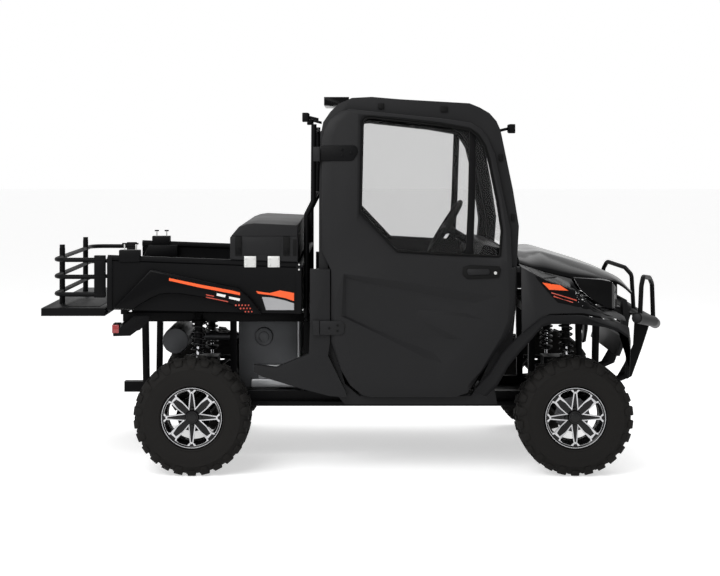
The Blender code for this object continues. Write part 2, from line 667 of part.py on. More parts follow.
HINGE_PIN = 0.012
HINGE_LUG = 0.010
HINGE_LUG_REACH = 0.032
STRAP_HEIGHT = 0.078
STRAP_THICKNESS = 0.008
UPPER_STRAP_LENGTH = 0.205
UPPER_STRAP_Z = 1.722
LOWER_STRAP_LENGTH = 0.120
LOWER_STRAP_Z = 0.790
HANDLE_SHARES = [(0.715, 0.93), (0.915, 0.91), (0.91, 0.975), (0.72, 1.0)]
HANDLE_THICKNESS = 0.012
CROSS_TUBE = 0.044
ROOF_CROSS_SHARES = [(0.105, 0.87), (0.30, 0.945), (0.84, 0.845)]
SILL_CROSS_SHARES = (0.20, 0.72)
FLOOR_SHARE = 0.075

DOOR_REAR_X = CAB_REAR_X + DOOR_REAR_SETBACK
DOOR_LENGTH = CAB_LENGTH - DOOR_REAR_SETBACK - DOOR_FRONT_SETBACK
DOOR_BOTTOM_Z = BELT_HEIGHT + BELT_OVERLAP - DOOR_SHELL_HEIGHT
FLOOR_Z = SILL_HEIGHT + LOWER_HEIGHT * FLOOR_SHARE
RING_DEPTH = DOOR_THICKNESS + RUNNING_GAP
INNER_DEPTH = RING_DEPTH + PILLAR_THICKNESS


def cab_outline(shares):
    """An outline on the cab's side above the belt."""
    return outline_of(shares, CAB_REAR_X, CAB_LENGTH, BELT_HEIGHT, UPPER_HEIGHT)


def cab_frame():
    """Two door rings joined by cross tubes, with the upper hinge lugs of the doors."""
    pieces = []
    outer = cab_outline(RING_UPPER_OUTER_SHARES)
    outer += outline_of(RING_LOWER_OUTER_SHARES, CAB_REAR_X, CAB_LENGTH, SILL_HEIGHT, LOWER_HEIGHT)
    inner = cab_outline(RING_UPPER_INNER_SHARES)
    inner += outline_of(RING_LOWER_INNER_SHARES, CAB_REAR_X, CAB_LENGTH, SILL_HEIGHT, LOWER_HEIGHT)
    for name, side in SIDES:
        loops = [side_points(points, depth, side) for points, depth in
                 ((outer, RING_DEPTH), (inner, RING_DEPTH), (inner, INNER_DEPTH), (outer, INNER_DEPTH))]
        pieces.append(ring("ring", loops, PAINT))
    for along, up in ROOF_CROSS_SHARES:
        height = BELT_HEIGHT + UPPER_HEIGHT * up
        reach = side_y(height, INNER_DEPTH) + PILLAR_THICKNESS / 2
        x = CAB_REAR_X + CAB_LENGTH * along
        pieces.append(tube("cross", [(x, -reach, height), (x, reach, height)], CROSS_TUBE, PAINT, 8))
    reach = side_y(SILL_HEIGHT, INNER_DEPTH) + PILLAR_THICKNESS / 2
    for along in SILL_CROSS_SHARES:
        x = CAB_REAR_X + CAB_LENGTH * along
        pieces.append(box("sill cross", (x - CROSS_TUBE / 2, x + CROSS_TUBE / 2), (-reach, reach),
                          (CHASSIS_BOTTOM + CHASSIS_TUBE + GAP, FLOOR_Z - GAP), PAINT))
    for name, side in SIDES:
        pieces += hinge_lug(side, UPPER_STRAP_Z, INNER_DEPTH - PILLAR_THICKNESS / 2)
    return rename(fuse(pieces[0], *pieces[1:]), "cab_frame")


def door_axis(side):
    """Base point and direction of a door's hinge line, which leans in with the cab's side."""
    base = Vector((CAB_REAR_X, side * (DOOR_HALF_WIDTH + HINGE_OUT), LOWER_STRAP_Z))
    tip = Vector((CAB_REAR_X, side * (side_y(UPPER_STRAP_Z, 0) + HINGE_OUT), UPPER_STRAP_Z))
    return base, (tip - base).normalized()


def hinge_lug(side, height, depth):
    """Angled lug and pin of one door hinge, rooted at a depth below the doors' skin."""
    base, along = door_axis(side)
    pin = base + along * ((height - base.z) / along.z)
    half = HINGE_LUG / 2
    rear = CAB_REAR_X - HINGE_LUG_REACH
    sections = []
    for level in (height - STRAP_HEIGHT / 2, height + STRAP_HEIGHT / 2):
        root = side_y(level, depth)
        edge = abs(base.y) - abs(along.y) * (level - base.z) / along.z
        outline = [(rear, root - half), (CAB_REAR_X + HINGE_LUG_REACH, root - half),
                   (CAB_REAR_X + HINGE_LUG_REACH, root + half), (rear + HINGE_LUG, root + half),
                   (rear + HINGE_LUG, edge - half), (CAB_REAR_X, edge - half), (CAB_REAR_X, edge + half),
                   (rear, edge + half)]
        sections.append([(x, side * y, level) for x, y in outline])
    lug = loft("lug", sections, PAINT)
    reach = along * (STRAP_HEIGHT / 2 / along.z)
    return [lug, tube("pin", [pin - reach, pin + reach], HINGE_PIN, PAINT, 8)]


def door(name, side):
    """Hard door: a lower shell, a window frame that leans in above the belt, straps and a handle."""
    upper = cab_outline(DOOR_UPPER_SHARES)
    window = cab_outline(WINDOW_SHARES)
    loops = [side_points(points, depth, side) for points, depth in
             ((upper, 0), (window, 0), (window, DOOR_THICKNESS), (upper, DOOR_THICKNESS))]
    frame = ring(f"door_{name}", loops, PAINT)
    lower = outline_of(DOOR_LOWER_SHARES, DOOR_REAR_X, DOOR_LENGTH, DOOR_BOTTOM_Z, DOOR_SHELL_HEIGHT)
    middle_x = DOOR_REAR_X + DOOR_LENGTH / 2
    middle_z = DOOR_BOTTOM_Z + DOOR_SHELL_HEIGHT / 2
    shrunk = [(middle_x + (x - middle_x) * DOOR_CHAMFER_SHARE,
               middle_z + (z - middle_z) * DOOR_CHAMFER_SHARE) for x, z in lower]
    layers = ((lower, DOOR_THICKNESS), (lower, DOOR_CHAMFER - HANDLE_THICKNESS),
              (shrunk, -HANDLE_THICKNESS))
    shell = loft("shell", [[(x, side * (DOOR_HALF_WIDTH - depth), z) for x, z in points]
                           for points, depth in layers], PAINT)
    pieces = [shell]
    for strap_z, length in ((UPPER_STRAP_Z, UPPER_STRAP_LENGTH), (LOWER_STRAP_Z, LOWER_STRAP_LENGTH)):
        start = CAB_REAR_X + HINGE_PIN / 2 + GAP
        outline = [(start, strap_z - STRAP_HEIGHT / 2), (start + length, strap_z - STRAP_HEIGHT / 2),
                   (start + length + STRAP_HEIGHT / 4, strap_z),
                   (start + length, strap_z + STRAP_HEIGHT / 2), (start, strap_z + STRAP_HEIGHT / 2)]
        skin = HANDLE_THICKNESS if strap_z < BELT_HEIGHT else 0
        pieces.append(loft("strap", [side_points(outline, depth, side) for depth in
                                     (STRAP_THICKNESS - skin, -STRAP_THICKNESS - skin)], STEEL))
    grip = outline_of(HANDLE_SHARES, DOOR_REAR_X, DOOR_LENGTH, DOOR_BOTTOM_Z, DOOR_SHELL_HEIGHT)
    pieces.append(loft("handle", [[(x, side * (DOOR_HALF_WIDTH - depth), z) for x, z in grip]
                                  for depth in (0, -HANDLE_THICKNESS * 2)], STEEL))
    return fuse(frame, *pieces)


def pane_outline():
    """The window's outline, wider by the margin that is bonded behind the frame."""
    middle_x = sum(point[0] for point in WINDOW_SHARES) / len(WINDOW_SHARES)
    middle_z = sum(point[1] for point in WINDOW_SHARES) / len(WINDOW_SHARES)
    wide = [(middle_x + (x - middle_x) * PANE_MARGIN_SHARE, middle_z + (z - middle_z) * PANE_MARGIN_SHARE)
            for x, z in WINDOW_SHARES]
    return cab_outline(wide)


def door_glass(name, side):
    """Clear sheet bonded behind the door's window frame."""
    near = DOOR_THICKNESS + GAP
    sections = [side_points(pane_outline(), depth, side) for depth in (near, near + PANE_THICKNESS)]
    return loft(f"door_glass_{name}", sections, CLEAR)


ROOF_SHARES = [(0.03, 0.80), (0.06, 0.90), (0.10, 0.95), (0.165, 0.985), (0.265, 0.995), (0.405, 0.98),
               (0.607, 0.965), (0.757, 0.955), (0.81, 0.93), (0.862, 0.885)]
ROOF_SHEET = 0.014
LIGHT_BAR_LENGTH = 0.640
LIGHT_BAR_SIZE = 0.046


def sheet_outline(line, thickness):
    """A bent line of (X, Z) points given a thickness below and behind it."""
    back = []
    for place, point in enumerate(line):
        before = Vector(line[max(place - 1, 0)])
        after = Vector(line[min(place + 1, len(line) - 1)])
        along = (after - before).normalized()
        back.append((point[0] + along.y * thickness, point[1] - along.x * thickness))
    return list(line) + back[::-1]


def roof():
    """Moulded roof between the door rings, with a light bar along its rear edge."""
    line = cab_outline(ROOF_SHARES)
    outline = sheet_outline(line, ROOF_SHEET)
    sections = []
    for side in (-1, 1):
        sections.append([(x, side * (side_y(z, INNER_DEPTH) - GAP * 2), z) for x, z in outline])
    panel = loft("roof", sections, GLOSS)
    height = BELT_HEIGHT + UPPER_HEIGHT * 0.985 - LIGHT_BAR_SIZE / 2
    x = CAB_REAR_X + CAB_LENGTH * 0.02
    bar = box("light bar", (x, x + CAB_LENGTH * 0.13), (-LIGHT_BAR_LENGTH / 2, LIGHT_BAR_LENGTH / 2),
              (height, height + LIGHT_BAR_SIZE), STEEL)
    return fuse(panel, bar)


SCREEN_BASE_SHARE = (0.975, 0.10)
SCREEN_TOP_SHARE = (0.868, 0.862)


def windscreen():
    """Flat clear screen between the front pillars."""
    (foot_x, foot_z), (head_x, head_z) = cab_outline([SCREEN_BASE_SHARE, SCREEN_TOP_SHARE])
    sections = []
    for depth in (0, PANE_THICKNESS):
        sections.append([(x - depth, side * (side_y(z, INNER_DEPTH) - GAP * 2), z)
                         for x, z, side in ((foot_x, foot_z, -1), (foot_x, foot_z, 1),
                                            (head_x, head_z, 1), (head_x, head_z, -1))])
    return loft("windscreen", sections, CLEAR)


REAR_PANEL_TOP_SHARE = 0.80
REAR_WINDOW_SHARES = ((0.12, 0.20), (0.88, 0.84))


def rear_panel():
    """Rear wall of the cab with its window cut."""
    top = BELT_HEIGHT + UPPER_HEIGHT * REAR_PANEL_TOP_SHARE
    low = CHASSIS_BOTTOM + CHASSIS_TUBE + CROSS_TUBE
    back = CAB_REAR_X + PANE_THICKNESS
    corners = ((low, -1), (BELT_HEIGHT, -1), (top, -1), (top, 1), (BELT_HEIGHT, 1), (low, 1))
    sections = [[(x, side * (side_y(z, INNER_DEPTH) - GAP * 2), z) for z, side in corners]
                for x in (back, back + SHEET)]
    panel = loft("rear_panel", sections, PAINT)
    span = side_y(top, INNER_DEPTH) * 2
    (left, base), (right, head) = REAR_WINDOW_SHARES
    rise = top - BELT_HEIGHT
    window = box("window cutter", (back - CUT_OVERRUN, back + SHEET + CUT_OVERRUN),
                 (span * (left - 0.5), span * (right - 0.5)),
                 (BELT_HEIGHT + rise * base, BELT_HEIGHT + rise * head), PAINT)
    return cut(panel, window)


def rear_glass():
    """Clear sheet bonded inside the rear window."""
    top = BELT_HEIGHT + UPPER_HEIGHT * REAR_PANEL_TOP_SHARE
    near = CAB_REAR_X + PANE_THICKNESS + SHEET + GAP
    span = side_y(top, INNER_DEPTH) * 2
    (left, base), (right, head) = REAR_WINDOW_SHARES
    rise = top - BELT_HEIGHT
    return box("rear_glass", (near, near + PANE_THICKNESS), (span * (left - 0.52), span * (right - 0.48)),
               (BELT_HEIGHT + rise * (base - 0.03), BELT_HEIGHT + rise * (head + 0.03)), CLEAR)


TUB_SHARES = [(0.05, FLOOR_SHARE), (0.745, FLOOR_SHARE), (0.895, 0.32), (0.935, 0.60), (0.95, 0.985),
              (0.985, 1.09)]
TUB_HALF_WIDTH = 0.610
PEDESTAL_HEIGHT = 0.300
PEDESTAL_SHARES = (0.10, 0.58)
PEDESTAL_HALF_WIDTH = 0.560
HOOD_HINGE_Y = 0.250


def tub():
    """Floor and toe board of one bent sheet, with the seat box standing on it."""
    line = outline_of(TUB_SHARES, CAB_REAR_X, CAB_LENGTH, SILL_HEIGHT, LOWER_HEIGHT)
    floor = prism("cab_tub", sheet_outline(line, -SHEET), -TUB_HALF_WIDTH, TUB_HALF_WIDTH, STEEL)
    base = FLOOR_Z
    ends = [CAB_REAR_X + CAB_LENGTH * share for share in PEDESTAL_SHARES]
    seat_box = box("seat box", ends, (-PEDESTAL_HALF_WIDTH, PEDESTAL_HALF_WIDTH),
                   (base + SHEET / 2, base + PEDESTAL_HEIGHT), STEEL)
    top = SILL_HEIGHT + LOWER_HEIGHT * TUB_SHARES[-1][1]
    under = hood_under(HOOD_REAR_X + HOOD_THICKNESS) - GAP
    start = CAB_REAR_X + CAB_LENGTH * TUB_SHARES[-1][0] - SHEET / 2
    lugs = [box("hood hinge", (start, HOOD_REAR_X + HOOD_THICKNESS),
                (side * HOOD_HINGE_Y - CROSS_TUBE / 2, side * HOOD_HINGE_Y + CROSS_TUBE / 2),
                (top - CROSS_TUBE / 2, under), STEEL) for name, side in SIDES]
    return fuse(floor, seat_box, *lugs)


SEAT_WIDTH = 0.500
SEAT_SPACING = 0.560
CUSHION_LENGTH = 0.470
CUSHION_THICKNESS = 0.110
BACK_HEIGHT = 0.700
BACK_THICKNESS = 0.100
BACK_RECLINE = 0.060
SEAT_REAR_SHARE = 0.125


def seat(name, side):
    """One seat: cushion and reclined back as one soft solid."""
    base = FLOOR_Z + PEDESTAL_HEIGHT + GAP
    rear = CAB_REAR_X + CAB_LENGTH * SEAT_REAR_SHARE
    top = base + CUSHION_THICKNESS
    outline = [(rear, base), (rear + CUSHION_LENGTH, base), (rear + CUSHION_LENGTH, top),
               (rear + BACK_THICKNESS, top), (rear + BACK_THICKNESS - BACK_RECLINE, base + BACK_HEIGHT),
               (rear - BACK_RECLINE, base + BACK_HEIGHT)]
    middle = side * SEAT_SPACING / 2
    return prism(f"seat_{name}", outline, middle - SEAT_WIDTH / 2, middle + SEAT_WIDTH / 2, SEATING)


DASH_SHARES = [(0.80, 0.80), (0.925, 1.13), (0.83, 1.16), (0.79, 1.05)]
DASH_FRONT_SHARES = [(0.942, 0.80), (0.9495, 0.99), (0.972, 1.06)]
DASH_COLUMN_SHARE = (0.83, 1.10)
DASH_HALF_WIDTH = 0.600
COLUMN_DIAMETER = 0.050
COLUMN_LENGTH = 0.150
WHEEL_DIAMETER = 0.350
WHEEL_GRIP = 0.028
WHEEL_TILT = 32
STEERING_Y = SEAT_SPACING / 2


def dashboard():
    """Dashboard with the steering column standing out of it."""
    outline = outline_of(DASH_SHARES, CAB_REAR_X, CAB_LENGTH, SILL_HEIGHT, LOWER_HEIGHT)
    outline[1:1] = outline_of(DASH_FRONT_SHARES, CAB_REAR_X - SHEET, CAB_LENGTH, SILL_HEIGHT, LOWER_HEIGHT)
    body = prism("dashboard", outline, -DASH_HALF_WIDTH, DASH_HALF_WIDTH, STEEL)
    base, axis = steering_line()
    ends = [base - axis * GAP, base - axis * COLUMN_LENGTH * 1.5]
    column = tube("column", ends, COLUMN_DIAMETER, STEEL, 10)
    return fuse(body, column)


def steering_line():
    """Centre of the steering wheel's boss and the direction of its column, towards the driver."""
    tilt = math.radians(WHEEL_TILT)
    axis = Vector((-math.cos(tilt), 0, math.sin(tilt)))
    foot = Vector((CAB_REAR_X + CAB_LENGTH * DASH_COLUMN_SHARE[0], STEERING_Y,
                   SILL_HEIGHT + LOWER_HEIGHT * DASH_COLUMN_SHARE[1]))
    return foot + axis * COLUMN_LENGTH, axis


def steering_wheel():
    """Round grip on three spokes and a boss."""
    base, axis = steering_line()
    across = Vector((0, 1, 0))
    upward = axis.cross(across).normalized()
    centre = base + axis * (COLUMN_DIAMETER * 0.7)
    radius = WHEEL_DIAMETER / 2
    loops = []
    for step in range(20):
        turn = math.tau * step / 20
        outward = across * math.cos(turn) + upward * math.sin(turn)
        loops.append([centre + outward * (radius + WHEEL_GRIP / 2 * math.cos(part))
                      + axis * WHEEL_GRIP / 2 * math.sin(part)
                      for part in (math.tau * index / 6 for index in range(6))])
    body = ring("steering_wheel", loops, STEEL)
    boss = tube("boss", [base + axis * GAP, centre + axis * WHEEL_GRIP / 2], COLUMN_DIAMETER * 1.3, STEEL, 10)
    spokes = [tube("spoke", [centre, centre + (across * math.cos(turn) + upward * math.sin(turn)) * radius],
                   WHEEL_GRIP * 0.8, STEEL, 6) for turn in (0, math.pi, math.pi * 1.5)]
    return fuse(body, boss, *spokes)

# Side covers and front body
COVER_SHARES = [
    (0.602, 1.0), (0.817, 1.0), (0.817, 0.43), (0.796, 0.323), (0.978, 0.054), (1.0, 0.0), (0.817, 0.008),
    (0.495, 0.069), (0.086, 0.16), (0.0, 0.20), (0.0, 0.254), (0.237, 0.23), (0.591, 0.338), (0.602, 0.554)]
COVER_LENGTH = 0.500
COVER_HEIGHT = 0.686
COVER_FRONT_OVERLAP = 0.086
FENDER_LENGTH = 0.565
FENDER_BASE = 0.700
FENDER_HEIGHT = 0.430
FENDER_THICKNESS = 0.016
FENDER_SHARES = [
    (0.0, 0.80, 0.985, 0.975, 0.965, 1.03, 0.03), (0.135, 0.80, 0.925, 0.975, 0.87, 1.045, 0.27),
    (0.255, 0.79, 0.875, 0.975, 0.79, 1.05, 0.39), (0.51, 0.79, 0.79, 0.97, 0.675, 1.055, 0.40),
    (0.575, 0.80, 0.62, 0.965, 0.60, 1.055, 0.40), (0.68, 0.80, 0.515, 0.96, 0.505, 1.05, 0.375),
    (0.80, 0.80, 0.42, 0.95, 0.415, 1.03, 0.34), (0.925, 0.78, 0.385, 0.92, 0.38, 1.0, 0.315),
    (1.0, 0.76, 0.335, 0.90, 0.33, 0.97, 0.285)]
ARCH_SIZE = 0.400
FLARE_OUT = 0.790
FLARE_SEAT = 0.0008
FLARE_LIP = 0.016
FLARE_SHARES = [
    (-1.36, 0.36, -1.20, 0.29), (-1.145, 0.587, -1.05, 0.44), (-0.97, 0.868, -0.904, 0.694),
    (-0.784, 1.068, -0.73, 0.908), (-0.61, 1.215, -0.583, 1.068), (-0.463, 1.335, -0.463, 1.22),
    (-0.343, 1.375, -0.33, 1.26), (0.057, 1.375, 0.057, 1.26), (0.324, 1.33, 0.378, 1.22),
    (0.565, 1.275, 0.55, 1.16), (0.735, 1.20, 0.68, 1.068), (0.76, 1.015, 0.70, 0.908),
    (0.75, 0.748, 0.69, 0.667), (0.72, 0.55, 0.665, 0.53)]
HOOD_LENGTH = 0.650
HOOD_BASE = 0.900
HOOD_HEIGHT = 0.300
HOOD_HALF_WIDTH = 0.560
HOOD_THICKNESS = 0.012
HOOD_FLAT_SHARE = 0.62
HOOD_SHARES = [
    (0.0, 0.945, 0.76, 1.0), (0.09, 0.90, 0.665, 1.0), (0.225, 0.92, 0.595, 0.99), (0.40, 0.81, 0.50, 0.98),
    (0.66, 0.64, 0.455, 0.88), (0.835, 0.50, 0.40, 0.78), (0.92, 0.405, 0.30, 0.73),
    (0.98, 0.29, 0.19, 0.70), (1.0, 0.175, 0.12, 0.68)]
LAMP_BASE = 0.878
LAMP_HEIGHT = 0.174
LAMP_REACH = 0.240
LAMP_SETBACK = 0.122
LAMP_SIDE_SHARES = [(0.0, 1.0), (0.61, 0.94), (0.84, 0.88), (1.0, 0.67), (1.02, 0.0), (0.72, 0.06),
                    (0.43, 0.30), (0.16, 0.61)]
LAMP_PLAN_SHARES = [(0.0, 1.0), (0.85, 1.0), (1.02, 0.88), (1.10, 0.72), (1.12, 0.72), (1.12, 0.70),
                    (0.86, 0.755), (0.66, 0.80), (0.50, 0.89), (0.0, 0.905)]
LAMP_HALF_WIDTH = 0.640
LAMP_FOOT = 0.024
LAMP_FOOT_SHARE = 0.83
LAMP_FOOT_OUT_SHARE = 0.90
GRILLE_SHARES = [(0.80, 1.0), (1.0, 0.73), (0.80, 0.32), (0.27, 0.0), (0.0, 0.0), (0.40, 0.32),
                 (0.55, 0.73), (0.40, 1.0)]
GRILLE_DEPTH = 0.075
GRILLE_BASE = 0.600
GRILLE_HEIGHT = 0.312
GRILLE_HALF_WIDTH = 0.440
GRILLE_SLOTS = 4
GRILLE_SLOT_SHARES = (0.36, 0.94)
GRILLE_SLOT_WIDTH_SHARE = 0.80
REST_SIZE = 0.020
REST_Y = 0.150

HOOD_REAR_X = CAB_REAR_X + CAB_LENGTH + RUNNING_GAP * 2
NOSE_X = HOOD_REAR_X + HOOD_LENGTH
LAMP_REAR_X = NOSE_X - LAMP_REACH - LAMP_SETBACK


def side_cover(name, side):
    """Panel behind the door: rear corner cover above, lower cover over the frame below."""
    start = DOOR_REAR_X - COVER_LENGTH + COVER_FRONT_OVERLAP
    outline = outline_of(COVER_SHARES, start, COVER_LENGTH, DOOR_BOTTOM_Z, COVER_HEIGHT)
    levels = sorted((side * DOOR_HALF_WIDTH, side * (DOOR_HALF_WIDTH - RING_DEPTH + GAP)))
    panel = prism(f"side_cover_{name}", outline, levels[0], levels[1], PAINT)
    return fuse(panel, *hinge_lug(side, LOWER_STRAP_Z, HINGE_LUG / 2))


def fender_level(x, column):
    """One column of the fender's shares at a place along it."""
    share = min(max((x - CAB_REAR_X - CAB_LENGTH - RUNNING_GAP) / FENDER_LENGTH, 0), 1)
    for before, after in zip(FENDER_SHARES, FENDER_SHARES[1:]):
        if before[0] <= share <= after[0]:
            part = (share - before[0]) / (after[0] - before[0])
            return before[column] + (after[column] - before[column]) * part
    return FENDER_SHARES[-1][column]


def fender(name, side):
    """Front fender panel, lofted from the cowl forward and under the headlamp."""
    start = CAB_REAR_X + CAB_LENGTH + RUNNING_GAP
    wide = DOOR_HALF_WIDTH
    deep = FENDER_THICKNESS
    sections = []
    for along, edge_y, edge_z, shoulder_y, shoulder_z, foot_y, foot_z in FENDER_SHARES:
        x = start + FENDER_LENGTH * along
        heights = [FENDER_BASE + FENDER_HEIGHT * share for share in (edge_z, shoulder_z, foot_z)]
        outer = [(wide * edge_y, heights[0]), (wide * shoulder_y, heights[1]), (wide * foot_y, heights[2])]
        inner = [(wide * foot_y - deep, heights[2]), (wide * shoulder_y - deep, heights[1] - deep),
                 (wide * edge_y, heights[0] - deep)]
        sections.append([(x, side * y, z) for y, z in outer + inner])
    panel = loft(f"front_fender_{name}", sections, PAINT)
    edge = side_y(BELT_HEIGHT, INNER_DEPTH)
    ends = sorted((side * edge, side * (edge + PILLAR_THICKNESS)))
    top = FENDER_BASE + FENDER_HEIGHT * FENDER_SHARES[0][4]
    near = CAB_REAR_X + CAB_LENGTH * RING_LOWER_OUTER_SHARES[0][0] + GAP * 2
    tab = box("tab", (near, start + deep), ends, (top - deep * 2, top - deep / 4), PAINT)
    return fuse(panel, tab)


def flare(name, side):
    """Flare round the front wheel arch, from the door's lower corner to the bumper."""
    sections = []
    for outer_x, outer_z, lip_x, lip_z in FLARE_SHARES:
        away = Vector((outer_x - lip_x, outer_z - lip_z)).normalized() * FLARE_LIP
        upper = (FRONT_AXLE_X + ARCH_SIZE * outer_x, HUB_Z + ARCH_SIZE * outer_z)
        lip = (FRONT_AXLE_X + ARCH_SIZE * lip_x, HUB_Z + ARCH_SIZE * lip_z)
        near = DOOR_HALF_WIDTH * max(fender_level(upper[0], 5), fender_level(lip[0], 5)) + FLARE_SEAT
        sections.append([(upper[0], side * near, upper[1]),
                         (upper[0], side * (near + FLARE_LIP), upper[1]),
                         (lip[0] + away.x, side * FLARE_OUT, lip[1] + away.y),
                         (lip[0], side * FLARE_OUT, lip[1]),
                         (lip[0], side * near, lip[1])])
    return loft(f"flare_{name}", sections, STEEL)


def hood():
    """Lid over the nose, flat along the middle and falling away at the sides and the front."""
    sections = []
    for along, middle, edge, width in HOOD_SHARES:
        x = HOOD_REAR_X + HOOD_LENGTH * along
        half = HOOD_HALF_WIDTH * width
        high = HOOD_BASE + HOOD_HEIGHT * middle
        low = HOOD_BASE + HOOD_HEIGHT * edge
        top = [(-half, low), (-half * HOOD_FLAT_SHARE, high), (half * HOOD_FLAT_SHARE, high), (half, low)]
        under = [(y, z - HOOD_THICKNESS) for y, z in reversed(top)]
        sections.append([(x, y, z) for y, z in top + under])
    return loft("hood", sections, GLOSS)


def hood_under(x):
    """Height of the hood's underside along its middle."""
    share = (x - HOOD_REAR_X) / HOOD_LENGTH
    for before, after in zip(HOOD_SHARES, HOOD_SHARES[1:]):
        if before[0] <= share <= after[0]:
            part = (share - before[0]) / (after[0] - before[0])
            return HOOD_BASE + HOOD_HEIGHT * (before[1] + (after[1] - before[1]) * part) - HOOD_THICKNESS
    return HOOD_BASE


def headlamp(name, side):
    """Lamp that wraps round the corner of the nose."""
    side_view = outline_of(LAMP_SIDE_SHARES, LAMP_REAR_X, LAMP_REACH, LAMP_BASE, LAMP_HEIGHT)
    levels = sorted((side * LAMP_HALF_WIDTH * 0.5, side * LAMP_HALF_WIDTH * 1.1))
    body = prism(f"headlamp_{name}", side_view, levels[0], levels[1], CLEAR)
    plan = [(LAMP_REAR_X + LAMP_REACH * along, side * LAMP_HALF_WIDTH * out)
            for along, out in LAMP_PLAN_SHARES]
    keep = prism("plan", plan, LAMP_BASE - CUT_OVERRUN, LAMP_BASE + LAMP_HEIGHT + CUT_OVERRUN, CLEAR, "Z")
    combine(body, [keep], "INTERSECT")
    foot_x = LAMP_REAR_X + LAMP_REACH * LAMP_FOOT_SHARE
    foot_y = side * LAMP_HALF_WIDTH * LAMP_FOOT_OUT_SHARE
    base = FENDER_BASE + FENDER_HEIGHT * fender_level(foot_x, 2) + GAP
    foot = box("foot", (foot_x, foot_x + LAMP_FOOT), (foot_y - LAMP_FOOT, foot_y + LAMP_FOOT),
               (base, LAMP_BASE + LAMP_FOOT), CLEAR)
    return fuse(body, foot)


def grille():
    """Slotted mask between the headlamps with the lower fascia in one."""
    start = NOSE_X - GRILLE_DEPTH - HOOD_THICKNESS * 2
    outline = outline_of(GRILLE_SHARES, start, GRILLE_DEPTH, GRILLE_BASE, GRILLE_HEIGHT)
    body = prism("grille", outline, -GRILLE_HALF_WIDTH, GRILLE_HALF_WIDTH, STEEL)
    low, high = (GRILLE_BASE + GRILLE_HEIGHT * share for share in GRILLE_SLOT_SHARES)
    pitch = (high - low) / GRILLE_SLOTS
    reach = GRILLE_HALF_WIDTH * GRILLE_SLOT_WIDTH_SHARE
    slots = []
    for slot in range(GRILLE_SLOTS):
        base = low + pitch * slot
        slots.append(box("slot cutter", (start - CUT_OVERRUN, NOSE_X + CUT_OVERRUN), (-reach, reach),
                         (base, base + pitch * 0.6), STEEL))
    cut(body, *slots)
    pads = []
    for name, side in SIDES:
        ends = sorted((side * (FRONT_TOWER_HALF_SPACING - CHASSIS_TUBE / 2),
                       side * (FRONT_TOWER_HALF_SPACING + CHASSIS_TUBE / 2)))
        pads.append(box("pad", (CHASSIS_FRONT_X + GAP, start + GRILLE_DEPTH * 0.7), ends,
                        (FRONT_TOWER_TOP - CHASSIS_TUBE, FRONT_TOWER_TOP), STEEL))
        rest_x = start + GRILLE_DEPTH * 0.6
        rest_top = hood_under(rest_x + REST_SIZE / 2) - GAP
        pads.append(box("hood rest", (rest_x - REST_SIZE / 2, rest_x + REST_SIZE / 2),
                        (side * REST_Y - REST_SIZE, side * REST_Y + REST_SIZE),
                        (GRILLE_BASE + GRILLE_HEIGHT * 0.96, rest_top), STEEL))
    return fuse(body, *pads)


GUARD_TUBE = 0.059
GUARD_HALF_WIDTH = 0.660
GUARD_FLAT_HALF = 0.300
GUARD_END_SETBACK = 0.175
GUARD_END_Z = 0.836
GUARD_MIDDLE_Z = 0.766
GUARD_PLATE_Y = 0.270
GUARD_PLATE_THICKNESS = 0.008
GUARD_PLATE_SHARES = [(0.40, 1.02), (0.86, 0.99), (0.62, 0.56), (0.32, 0.08), (0.0, 0.0), (-0.10, 0.10),
                      (0.10, 0.30), (0.36, 0.62)]
GUARD_PLATE_LENGTH = 0.190
GUARD_PLATE_DROP = 0.330
GUARD_STRUT = 0.036
HOOP_TUBE = 0.026
HOOP_SHARES = [(0.16, 0.91, -0.03), (0.20, 0.915, 0.78), (0.30, 0.86, 1.0), (0.72, 0.56, 0.90),
               (0.88, 0.46, 0.72), (0.95, 0.44, -0.27)]
HOOP_HEIGHT = 0.215


